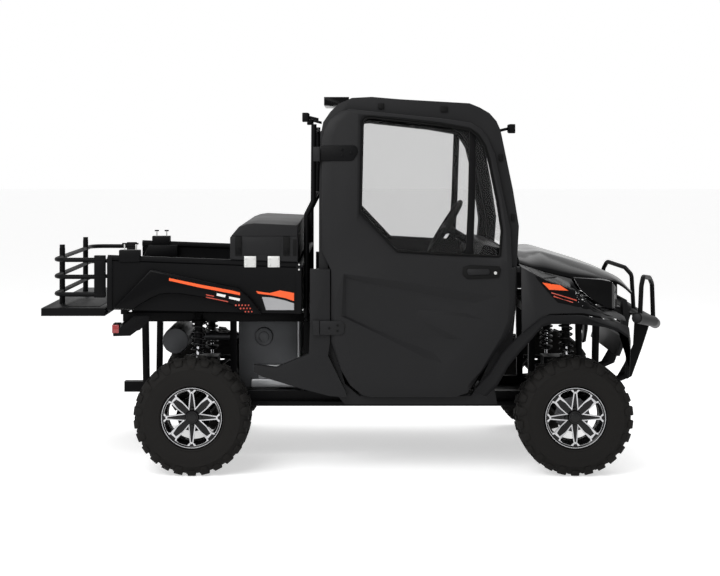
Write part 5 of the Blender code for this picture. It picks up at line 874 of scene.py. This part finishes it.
GRIP = [(468, 268.8), (488.5, 269), (490.2, 271.8), (488.6, 274.6), (469, 275.2), (467, 272)]
DIVIDER_PLANE = -0.68
DIVIDER = [
    (470.4, 130), (477.4, 131.5), (475.4, 205), (473.4, 249), (474.2, 257.5), (461.2, 256), (466, 248),
    (468.2, 205)]
# An outer bead follows the window's upper part, spread by these shares.
BEAD_SHARES = (1.03, 1.045)
BEAD_FROM = 1.6
CLIP_PLANE = -0.62
CLIPS = (((378, 103), (384, 109)), ((441, 106), (448, 112)), ((499, 154), (503, 161)),
         ((511, 214), (514, 221)))
fittings = [plate(seen(STRAP, STRAP_PLANE), on_side, 0.004, -0.008, COATED, 0.004)]
for x, z in seen(STRAP_BOLTS, STRAP_PLANE):
    fittings.append(button(x, z, 0.008, on_side, -0.007, -0.012, COATED, 6))
fittings.append(plate(LOWER_STRAP, on_side, -0.008, -0.0195, MOULDED, 0.005))
for x, z in LOWER_BOLTS:
    fittings.append(button(x, z, 0.007, on_side, -0.019, -0.0225, SEAL, 6))
fittings.append(plate(seen(CUP, CUP_PLANE), door_outer, 0.004, -0.003, SEAL, 0.004))
fittings.append(plate(seen(GRIP, GRIP_PLANE), door_outer, -0.002, -0.012, MOULDED, 0.004))
(x, z), = seen([LOCK], CUP_PLANE)
fittings.append(button(x, z, 0.0085, door_outer, -0.002, -0.008, ZINC))
both_sides(fittings, "door_fittings", DOORS)
middle = [sum(point[axis] for point in window) / len(window) for axis in (0, 1)]
wider = [(middle[0] + (x - middle[0]) * BEAD_SHARES[0], middle[1] + (z - middle[1]) * BEAD_SHARES[1])
         for x, z in window if z > BEAD_FROM]
seals = [rod([on_side(x, z, 0.003) for x, z in window], 0.010, SEAL, 0.012, 10, looped=True),
         rod([on_side(x, z, 0.001) for x, z in wider], 0.006, SEAL, 0.012, 8),
         plate(seen(DIVIDER, DIVIDER_PLANE), on_side, 0.040, 0.024, COATED, 0.003)]
both_sides(seals, "window_seals", DOORS)
clips = []
for (left, up), (right, down) in CLIPS:
    corners = seen([(left, up), (right, up), (right, down), (left, down)], CLIP_PLANE)
    clips.append(plate(corners, on_side, 0.052, 0.040, SEAL, 0.003))
both_sides(clips, "ring_clips", ("body", "body"))

# Body panels: the roof, side covers, fenders and hood are moulded plastic, and the wheel arch
# flares are rubbery black. Every edge is rounded as a mould leaves it.
# Moulded ABS, gloss black: a wet black with soft reflections.
GLOSS = finish("ABS, gloss black moulded", "#0a0a0b", 0.18, 30.0, 0.1, 0.1, Specular_IOR_Level=0.05)
# Thermoplastic rubber, moulded: a dull black, darker than the moulded panels beside it.
FLARE = finish("thermoplastic rubber, moulded", "#131314", 0.52, 2.5, 0.08, 0.1, Specular_IOR_Level=0.06)
# (node, piece, edge, finish, slot) of the panels that come as a left and a right one.
SIDE_PANELS = (
    ("side_cover", "corner_cover", 0.006, MOULDED, "charcoal_plastic"),
    ("front_fender", "fender_panel", 0.005, MOULDED, "charcoal_plastic"),
    ("flare", "arch_flare", 0.005, FLARE, "powder_coat"),
    ("headlamp", "lamp", 0.006, GLOSS, "clear_sheet"))
carried(soften("roof", "roof_panel", 0.006, GLOSS, 3), "body")
for side in ("left", "right"):
    for node, name, width, material, slot in SIDE_PANELS:
        carried(soften(f"{node}_{side}", f"{name}_{side}", width, material, 3), "body")
carried(soften("grille", "nose_mask", 0.004, MOULDED), "body")
for node, body in (("rear_fascia", "body"), ("cab_tub", "body"), ("dashboard", "body"),
                   ("tailgate", "tailgate"), ("cargo_bed", "bed")):
    carried(soften(node, f"{node}_coated", 0.003, COATED), body)
for node, body in (("toolbox", "bed"), ("toolbox_lid", "toolbox_lid")):
    carried(soften(node, f"{node}_moulded", 0.012, MOULDED, 3), body)
for side in ("left", "right"):
    carried(soften(f"bed_trim_{side}", f"arch_trim_{side}", 0.012, GLOSS, 3), "bed")

# Hood: one moulded lid in gloss black, flat along the middle, that rolls over at its sides and
# turns down at the nose.
HOOD_REAR = 0.889
HOOD_RUN = 0.650
HOOD_FOOT = 0.900
HOOD_RISE = 0.300
HOOD_HALF = 0.560
HOOD_WALL = 0.012
# (place along the run, crown, edge, half width), all as shares.
HOOD_SHARES = [
    (0.0, 0.945, 0.76, 1.0), (0.09, 0.90, 0.665, 1.0), (0.225, 0.92, 0.595, 0.99),
    (0.40, 0.81, 0.50, 0.98), (0.66, 0.64, 0.455, 0.88), (0.835, 0.50, 0.40, 0.78),
    (0.92, 0.405, 0.30, 0.73), (0.98, 0.29, 0.19, 0.70), (1.0, 0.175, 0.12, 0.68)]
HOOD_ACROSS = (1.0, 0.985, 0.95, 0.90, 0.84, 0.78, 0.72, 0.66, 0.60, 0.40, 0.20, 0.0)
HOOD_STEPS = 40
HOOD_SPACING = 0.8
HOOD_BLUR = 0.035
HOOD_INSET_SHARE = 0.985
# Past ROLL_FROM_SHARE of the half width the lid rolls over, partly straight and partly round.
ROLL_FROM_SHARE = 0.60
ROLL_RUN_SHARE = 0.40
STRAIGHT_SHARE = 0.45
ROUND_SHARE = 0.55


def eased(table, share, blur):
    """A table's columns at a share, blurred so that its corners turn smoothly."""
    spots = [min(max(share + blur * offset, 0), 1) for offset in (-1, -0.5, 0, 0.5, 1)]
    columns = [0] * (len(table[0]) - 1)
    for spot in spots:
        one, two = next((one, two) for one, two in zip(table, table[1:]) if one[0] <= spot <= two[0])
        part = (spot - one[0]) / (two[0] - one[0])
        for column in range(len(columns)):
            columns[column] += (one[column + 1] + (two[column + 1] - one[column + 1]) * part) / len(spots)
    return columns


rows = []
for step in range(HOOD_STEPS + 1):
    share = (step / HOOD_STEPS) ** HOOD_SPACING
    crown, edge, width = eased(HOOD_SHARES, share, HOOD_BLUR)
    top = []
    for across in HOOD_ACROSS:
        part = max(across - ROLL_FROM_SHARE, 0) / ROLL_RUN_SHARE
        fall = 1 - ((1 - part) * STRAIGHT_SHARE + math.sqrt(1 - part * part) * ROUND_SHARE)
        top.append((across * HOOD_HALF * width, HOOD_FOOT + HOOD_RISE * (crown + (edge - crown) * fall)))
    top = [(-y, z) for y, z in top] + top[-2::-1]
    row = top + [(y * HOOD_INSET_SHARE, z - HOOD_WALL) for y, z in reversed(top)]
    rows.append([(HOOD_REAR + HOOD_RUN * share, y, z) for y, z in row])
hood = skin("hood_lid", rows, GLOSS, closed=True, sharp=50)
carried(hood, "hood")
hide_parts("hood")

# Front guard: a swept steel tube with closed ends on two laser cut plates, braced to the frame
# by short struts, with a small hoop before each headlamp.
GUARD_LINE = [(1.5125, -0.66, 0.836), (1.6438, -0.45, 0.794), (1.6860, -0.30, 0.766)]
HOOP_LINE = [
    (1.5405, -0.6006, 0.8296), (1.5475, -0.6039, 1.0037), (1.565, -0.5676, 1.051),
    (1.6385, -0.3696, 1.0295), (1.6665, -0.3036, 0.9908), (1.6760, -0.2904, 0.790)]
GUARD_PLATE = [
    (1.5725, 0.7726), (1.6599, 0.7627), (1.6143, 0.6208), (1.5573, 0.4624), (1.4965, 0.436),
    (1.4775, 0.469), (1.5155, 0.535), (1.5649, 0.6406)]
GUARD_STRUT = [(1.523, 0.282, 0.469), (1.400, 0.280, 0.421)]
GUARD_FOOT = [(1.364, 0.3853), (1.436, 0.3853), (1.436, 0.4213), (1.364, 0.4213)]
END_CAP = [(PINHOLE, -0.003), (0.021, -0.003), (0.0245, -0.001), (0.0245, 0.006), (PINHOLE, 0.006)]
END_HEADING = Vector((0.1313, 0.21, -0.042))


def slab(name, outline, side, near, far, material, width):
    """A plate over an (X, Z) outline between two distances to one side, with rounded edges."""
    rows = [[(x, side * y, z) for x, z in outline] for y in (near, far)]
    return rounded(skin(name, rows, material, closed=True), width)


mirrored = [(x, -y, z) for x, y, z in GUARD_LINE[::-1]]
guard = [rod(GUARD_LINE + mirrored, 0.059, COATED, 0.12, 28)]
for side in (-1, 1):
    guard.append(rod([(x, y * -side, z) for x, y, z in HOOP_LINE], 0.026, COATED, 0.035, 16))
    guard.append(slab("plate", GUARD_PLATE, side, 0.270, 0.278, COATED, 0.0015))
    guard.append(rod([(x, side * y, z) for x, y, z in GUARD_STRUT], 0.036, COATED))
    guard.append(slab("foot", GUARD_FOOT, side, 0.255, 0.305, COATED, 0.003))
    cap = lathed("cap", END_CAP, MOULDED, 32)
    heading = END_HEADING.to_track_quat("Y", "Z").to_matrix().to_4x4()
    cap.data.transform(Matrix.Translation(GUARD_LINE[0]) @ heading)
    if side > 0:
        cap.data.transform(Matrix.Scale(-1, 4, (0, 1, 0)))
    guard.append(cap)
guard = join("front_guard_tubes", guard)
carried(guard, "body")
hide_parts("front_guard")

# Rear rack: two uprights of coated tube with three cross bars behind the rear window.
RACK_HALF_WIDTH = 0.52
RACK_UPRIGHT = [(-0.2364, 1.886), (-0.2396, 1.461), (-0.2774, 1.387), (-0.2774, 0.807)]
RACK_FOOT_OUT = 0.3553
CROSS_BARS = ((-0.2396, 1.8677), (-0.2396, 1.4796), (-0.2774, 1.1654))
rack = []
for side in (-1, 1):
    foot_x, foot_z = RACK_UPRIGHT[-1]
    line = [(x, side * RACK_HALF_WIDTH, z) for x, z in RACK_UPRIGHT] + [(foot_x, side * RACK_FOOT_OUT, foot_z)]
    rack.append(rod(line, 0.030, COATED, 0.04, 16))
for x, z in CROSS_BARS:
    rack.append(rod([(x, -RACK_HALF_WIDTH, z), (x, RACK_HALF_WIDTH, z)], 0.024, COATED))
rack = join("rear_rack_tubes", rack)
carried(rack, "body")
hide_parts("rear_rack")

# Bed extender: three coated steel hoops through two posts that stand on the tailgate, with a
# rubber cap on each post and, on each side, a plate that ties the hoops' front ends.
HOOP_LEVELS = (0.9569, 1.0526, 1.1450)
HOOP_FRONT = -1.370
HOOP_REAR = -1.650
HOOP_HALF_WIDTH = 0.59
POST_OUT = 0.365
POST_LEVELS = (0.8846, 1.196)
POST_CAP_LEVELS = (1.190, 1.2143)
END_PLATE = [(-1.432, 0.940), (-1.370, 0.940), (-1.370, 1.170), (-1.432, 1.170)]
extender = []
for z in HOOP_LEVELS:
    line = [(HOOP_FRONT, -HOOP_HALF_WIDTH, z), (HOOP_REAR, -HOOP_HALF_WIDTH, z),
            (HOOP_REAR, HOOP_HALF_WIDTH, z), (HOOP_FRONT, HOOP_HALF_WIDTH, z)]
    extender.append(rod(line, 0.025, COATED, 0.075, 18))
for side in (-1, 1):
    for levels, diameter, material in ((POST_LEVELS, 0.032, COATED), (POST_CAP_LEVELS, 0.030, SEAL)):
        post = [(HOOP_REAR, side * POST_OUT, z) for z in levels]
        extender.append(rod(post, diameter, material, 0.01, 20))
    extender.append(slab("end", END_PLATE, side, 0.578, 0.602, COATED, 0.004))
extender = join("extender_tubes", extender)
carried(extender, "tailgate")
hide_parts("bed_extender")

# Steering wheel: a foamed polyurethane grip on three spokes and a padded boss.
HUB = Vector((0.5657, 0.28, 1.2635))
AXIS = Vector((-0.848048, 0, 0.529919))
WHEEL_STANDS = 0.035
GRIP_RADIUS = 0.175
SPOKE_REACH = 0.172
sideways = Vector((0, 1, 0))
upwards = AXIS.cross(sideways)
centre = HUB + AXIS * WHEEL_STANDS


def in_plane(turn, reach):
    """A point in the steering wheel's plane, at a turn and a distance from its middle."""
    return centre + (sideways * math.cos(turn) + upwards * math.sin(turn)) * reach


ring = [in_plane(math.tau * step / 48, GRIP_RADIUS) for step in range(48)]
wheel = [rod(ring, 0.028, SEAL, 0.0, 14, looped=True),
         rod([HUB + AXIS * 0.001, centre + AXIS * 0.014], 0.065, SEAL, 0.0, 24)]
for turn in (0, math.pi, math.pi * 1.5):
    wheel.append(rod([centre, in_plane(turn, SPOKE_REACH)], 0.0224, SEAL))
wheel = join("steering_wheel_grip", wheel)
carried(wheel, "steering_wheel")
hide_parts("steering_wheel")

# Seats: two foam filled seats in black vinyl, each a cushion and a reclined back. The foam
# swells the cover, and sewn channels draw it in across the back and along the cushion.
# Vinyl on knit backing, embossed: a matt black hide of small cells.
VINYL = finish("vinyl on knit, embossed hide", "#171717", 0.55, 4.0, 0.15, 0.12, cells=True,
               Specular_IOR_Level=0.15)
PAD_SWELL = 0.024
CHANNEL_REACH = 0.009
RECLINE = 0.060
BACK_FOOT = 0.8358
BACK_RUN = 0.590


def stuffed(name, outline, half, channels, lows, highs):
    """A pad over an (X, Z) outline, swollen by a cloth simulation, with sewn channels across it."""
    rows = [[(x, y, z) for x, z in outline] for y in (-half, -half * 0.5, 0, half * 0.5, half)]
    piece = rounded(skin(name, rows, VINYL, closed=True), 0.018, 3)
    grain = piece.modifiers.new("voxels", "REMESH")
    grain.mode = "VOXEL"
    grain.voxel_size = 0.007
    piece = settle(piece)
    start = [vert.co.copy() for vert in piece.data.vertices]
    filling = piece.modifiers.new("filling", "CLOTH")
    filling.settings.use_pressure = True
    filling.settings.uniform_pressure_force = 4
    filling.settings.effector_weights.gravity = 0
    filling.point_cache.frame_end = 20
    for number in range(1, 21):
        scene.frame_set(number)
    graph = bpy.context.evaluated_depsgraph_get()
    swollen = bpy.data.meshes.new_from_object(piece.evaluated_get(graph))
    for vert, was in zip(swollen.vertices, start):
        move = vert.co - was
        vert.co = was + move * min(1, PAD_SWELL / max(move.length, 0.00001))
    piece.modifiers.clear()
    piece.data = swollen
    scene.frame_set(1)
    smooth = piece.modifiers.new("smooth", "SUBSURF")
    smooth.levels = 1
    smooth.render_levels = 1
    piece = settle(piece, 180)
    for vert in piece.data.vertices:
        for axis, place, depth in channels:
            near = (vert.co[axis] - place) / CHANNEL_REACH
            up = 2 - axis
            face = min(max((vert.co[up] - lows[up]) / (highs[up] - lows[up]) * 2 - 1, 0), 1)
            vert.co[up] -= depth * math.exp(-near * near) * face
        for axis in range(3):
            vert.co[axis] = min(max(vert.co[axis], lows[axis]), highs[axis])
    return piece


cushion = stuffed("cushion", [(0.045, 0.742), (0.384, 0.742), (0.384, 0.818), (0.045, 0.818)], 0.232,
                  [(0, 0.14, 0.006), (0, 0.28, 0.006)], (0.030, -0.25, 0.7262), (0.3994, 0.25, 0.8420))
back = stuffed("back", [(-0.056, 0.742), (0.014, 0.742), (0.014, 1.410), (-0.056, 1.410)], 0.232,
               [(2, 1.30, 0.010), (2, 1.08, 0.005), (2, 0.94, 0.005)], (-0.0706, -0.25, 0.7262),
               (0.0294, 0.25, 1.4258))
for vert in back.data.vertices:
    vert.co.x -= RECLINE * max(vert.co.z - BACK_FOOT, 0) / BACK_RUN
seat = join("seat", [cushion, back])
for side, y in (("left", 0.28), ("right", -0.28)):
    piece = shifted(seat, f"seat_pads_{side}", Matrix.Translation((0, y, 0)))
    carried(piece, "body")
    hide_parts(f"seat_{side}")
bpy.data.objects.remove(seat, do_unlink=True)

# Toolbox fittings: two strap latches and a grey label panel on each end of the box, and two
# zinc plated clamp plates, each with four screws, that hold the box down to the bed's rail.
# Polyethylene, moulded: a plain dark grey.
LABEL = finish("polyethylene sheet, dark grey", "#1e1e1f", 0.5, 2.0, 0.04, 0.06, Specular_IOR_Level=0.1)


def upright(level):
    """Places (X, Z, depth) on an upright plane at a distance to the right."""
    return lambda x, z, depth: (x, -(level - depth), z)


def block(x_range, z_range):
    """The four corners of an (X, Z) rectangle."""
    (left, right), (low, high) = x_range, z_range
    return [(left, low), (right, low), (right, high), (left, high)]


box_end = upright(0.680)
parts = [plate(block((-0.611, -0.409), (1.182, 1.272)), box_end, 0.004, -0.002, LABEL),
         plate(block((-0.346, -0.326), (1.172, 1.262)), box_end, 0.004, -0.002, SEAL)]
for x in (-0.639, -0.380):
    parts.append(plate(block((x - 0.018, x + 0.018), (1.174, 1.277)), box_end, 0.004, -0.006, SEAL, 0.003))
    parts.append(plate(block((x - 0.012, x + 0.012), (1.184, 1.214)), box_end, -0.005, -0.010, COATED, 0.003))
rail_side = upright(0.6855)
for x in (-0.576, -0.449):
    parts.append(plate(block((x - 0.032, x + 0.032), (1.112, 1.172)), rail_side, 0.002, -0.004, ZINC, 0.0015))
    for across in (-0.021, 0.021):
        for z in (1.125, 1.160):
            parts.append(button(x + across, z, 0.0065, rail_side, -0.003, -0.008, ZINC, 6))
for z in (1.127, 1.100):
    parts.append(button(-0.312, z, 0.005, upright(0.6985), 0.001, -0.004, ZINC, 12))
both_sides(parts, "toolbox_fittings", ("bed", "bed"))

# Graphics: printed vinyl film on the bed's arch trims, the bed's sides and the fenders, with
# orange blades and fields of dots. A gloss panel is let into each fender below the hood.
FILM = {name: finish(f"vinyl film, printed {name}", colour, 0.32, 25.0, 0.01, 0.03) for name, colour in (
    ("orange", "#f25a1e"), ("red", "#b8402a"), ("grey", "#9b9b9d"), ("white", "#e2e2e0"))}


def faces_of(name):
    """The faces of a piece as a tree that lines can be cast at."""
    shape = bmesh.new()
    shape.from_mesh(bpy.data.objects[name].data)
    tree = BVHTree.FromBMesh(shape)
    shape.free()
    return tree


def film(outline, target, material, lift=0.0009, grid=0.012):
    """A thin film laid along Y onto the right side of a piece, from an (X, Z) outline."""
    flat, faces = triangles(outline, grid=grid)

    def laid(rise):
        def spot(point):
            hit, normal, *_ = target.ray_cast(Vector((point.x, -1.5, point.y)), Vector((0, 1, 0)))
            if hit is None:
                hit, normal, *_ = target.find_nearest(Vector((point.x, -0.73, point.y)))
            return hit + (normal if normal.y < 0 else -normal) * rise
        return spot
    return thick("film", flat, faces, laid(lift), laid(-0.0006), material, 60)


def field(region, y, step, sizes, target, material):
    """Dots in staggered rows over a region of the picture, larger at its left and smaller at its right."""
    lows = [min(point[axis] for point in region) for axis in (0, 1)]
    highs = [max(point[axis] for point in region) for axis in (0, 1)]
    dots = []
    for row in range(int((highs[1] - lows[1]) / step) + 1):
        for column in range(int((highs[0] - lows[0]) / step) + 1):
            spot = (lows[0] + step * (column + row % 2 / 2), lows[1] + step * row)
            if inside(spot, region):
                share = (spot[0] - lows[0]) / (highs[0] - lows[0])
                size = sizes[0] + (sizes[1] - sizes[0]) * share
                turns = [math.tau * turn / 8 for turn in range(8)]
                ring = [(spot[0] + size * math.cos(turn), spot[1] + size * math.sin(turn)) for turn in turns]
                dots.append(film(seen(ring, y), target, material, 0.0012, 0))
    return dots


# Places in the picture of each film's outline, and the upright planes that they lie near.
TRIM_PLANE = -0.73
TRIM_FILMS = (
    ("orange", [(169, 278), (200, 284.5), (232, 290.5), (240, 292.6), (240, 295.2), (231, 293.4),
                (200, 287.6), (169, 280.6)]),
    ("white", [(217, 293.2), (226, 295), (225, 297.4), (216.5, 295.6)]),
    ("white", [(229, 296.4), (240, 298.6), (239.5, 301), (229, 298.6)]),
    ("red", [(206, 294.2), (214, 295.8), (214, 296.8), (206, 295.2)]),
    ("red", [(206, 296.6), (228, 301.2), (228, 302.2), (206, 297.6)]))
TRIM_DOTS = [(231, 303.5), (248, 302), (254, 312), (246, 312)]
BED_PLANE = -0.685
BED_FILMS = (
    ("orange", [(256, 291), (262, 292), (270, 293), (280, 290.4), (294, 293), (294, 301), (285, 298),
                (270, 295), (258, 293.6)]),
    ("grey", [(262, 297), (271, 297.4), (285, 300.4), (294, 303.4), (294, 310), (266, 310)]))
FENDER_PLANE = -0.70
PANEL = [
    (527, 268), (541, 284), (557, 302), (575, 306), (595, 311.5), (612, 316), (611, 311), (603, 309),
    (592, 302), (580, 292), (571, 284), (560, 279), (545, 272.5)]
FENDER_FILMS = (
    ("orange", [(542, 282.6), (560, 285.4), (568.5, 291), (549, 289.6)]),
    ("red", [(551, 292), (576, 299.6), (576, 300.8), (551, 293.2)]),
    ("red", [(553, 295.4), (572, 301.6), (572, 302.6), (553, 296.6)]))
trim = faces_of("arch_trim_right")
bed_side = faces_of("cargo_bed_coated")
parts = [film(seen(outline, TRIM_PLANE), trim, FILM[colour]) for colour, outline in TRIM_FILMS]
parts += field(TRIM_DOTS, TRIM_PLANE, 3.2, (1.0, 0.7), trim, FILM["red"])
parts += [film(seen(outline, BED_PLANE), bed_side, FILM[colour]) for colour, outline in BED_FILMS]
both_sides(parts, "bed_graphics", ("bed", "bed"))
nose = faces_of("fender_panel_right")
parts = [film(seen(PANEL, FENDER_PLANE), nose, GLOSS, 0.0016)]
parts += [film(seen(outline, FENDER_PLANE), nose, FILM[colour], 0.0026) for colour, outline in FENDER_FILMS]
for colour, row in (("white", 293), ("grey", 298.5)):
    region = [(572, row), (580, row), (592, row + 9.5), (584, row + 9.5)]
    parts += field(region, FENDER_PLANE, 3.4, (1.1, 0.7), nose, FILM[colour])
both_sides(parts, "fender_graphics", ("body", "body"))

# Rear lamps: a red lens wraps each tail lamp's rear and outer faces.
# Acrylic, moulded and tinted: a clear red with a wet gloss.
RED_LENS = finish("acrylic, red tinted moulded", "#8c1418", 0.12, 40.0, 0.02, 0.05, Coat_Weight=0.4)
LENS = [(-1.3260, 0.752), (-1.288, 0.752), (-1.288, 0.798), (-1.3260, 0.798)]
lens = [slab("lens", LENS, side, 0.590, 0.6515, RED_LENS, 0.004) for side in (-1, 1)]
carried(join("tail_lenses", lens), "body")

# Engine dressings: a round starter cover, a bright gearbox casting and an upright pipe show on
# the engine's right side, ahead of the rear wheel.
BRIGHT = finish("cast aluminium, bead blasted", "#a9aaac", 0.42, 3.0, 0.15, 0.2, Metallic=0.6)
engine_side = upright(0.200)
parts = [button(-0.529, 0.681, 0.052, engine_side, 0.004, -0.024, CAST_ALLOY, 32),
         button(-0.529, 0.681, 0.030, engine_side, -0.022, -0.030, CAST_ALLOY, 24),
         plate(block((-0.600, -0.330), (0.392, 0.440)), engine_side, 0.004, -0.030, BRIGHT, 0.006),
         plate(block((-0.560, -0.420), (0.440, 0.520)), engine_side, 0.004, -0.018, BRIGHT, 0.006),
         rod([(-0.330, -0.225, 0.450), (-0.330, -0.225, 0.770)], 0.018, BRIGHT)]
carried(join("engine_dressings", parts), "body")

# Work lamps: four small square floods on swivel brackets, two at the windscreen's head and two
# above the rear window, with finned die cast bodies.
LAMP_SIZE = 0.060
LAMP_DEPTH = 0.040
work_lamps = []
for x, z, heading in ((0.835, 1.862, 1), (-0.262, 1.925, -1)):
    for side in (-1, 1):
        y = side * 0.46
        rows = []
        for depth, half in ((0, 0.8), (0.2, 1.0), (1.0, 1.0)):
            reach = LAMP_SIZE / 2 * half
            rows.append([(x + heading * LAMP_DEPTH * depth, y + one * reach, z + two * reach * 0.85)
                         for one, two in ((-1, -1), (1, -1), (1, 1), (-1, 1))])
        work_lamps.append(rounded(skin("work_lamp", rows, COATED, closed=True), 0.004))
        foot = [(x, y - 0.012, z - 0.008), (x, y + 0.012, z - 0.008), (x, y + 0.012, z + 0.008),
                (x, y - 0.012, z + 0.008)]
        far = [(place[0] - heading * 0.050, place[1], place[2] - 0.012) for place in foot]
        work_lamps.append(rounded(skin("bracket", [foot, far], COATED, closed=True), 0.002))
carried(join("work_lamps", work_lamps), "body")

# Rail clamps: a pressed steel block stands on each bed rail near the tailgate, with two T
# handled screws that hold what is lashed to the rail.
CLAMP = [(-1.282, 1.141), (-1.169, 1.141), (-1.169, 1.205), (-1.282, 1.205)]
GUSSET = [(-1.33, 1.08), (-1.12, 1.08), (-1.12, 1.15), (-1.30, 1.15)]
SCREW_OUT = 0.667
SCREW_FOOT = 1.195
HANDLE_LEVEL = 1.238
HANDLE_REACH = 0.013
clamps = []
for side in (-1, 1):
    clamps.append(slab("clamp", CLAMP, side, 0.640, 0.695, COATED, 0.004))
    clamps.append(slab("gusset", GUSSET, side, 0.610, 0.662, COATED, 0.004))
    y = side * SCREW_OUT
    for x in (-1.255, -1.193):
        clamps.append(rod([(x, y, SCREW_FOOT), (x, y, HANDLE_LEVEL)], 0.008, ZINC))
        handle = [(x - HANDLE_REACH, y, HANDLE_LEVEL), (x + HANDLE_REACH, y, HANDLE_LEVEL)]
        clamps.append(rod(handle, 0.009, COATED))
carried(join("rail_clamps", clamps), "bed")
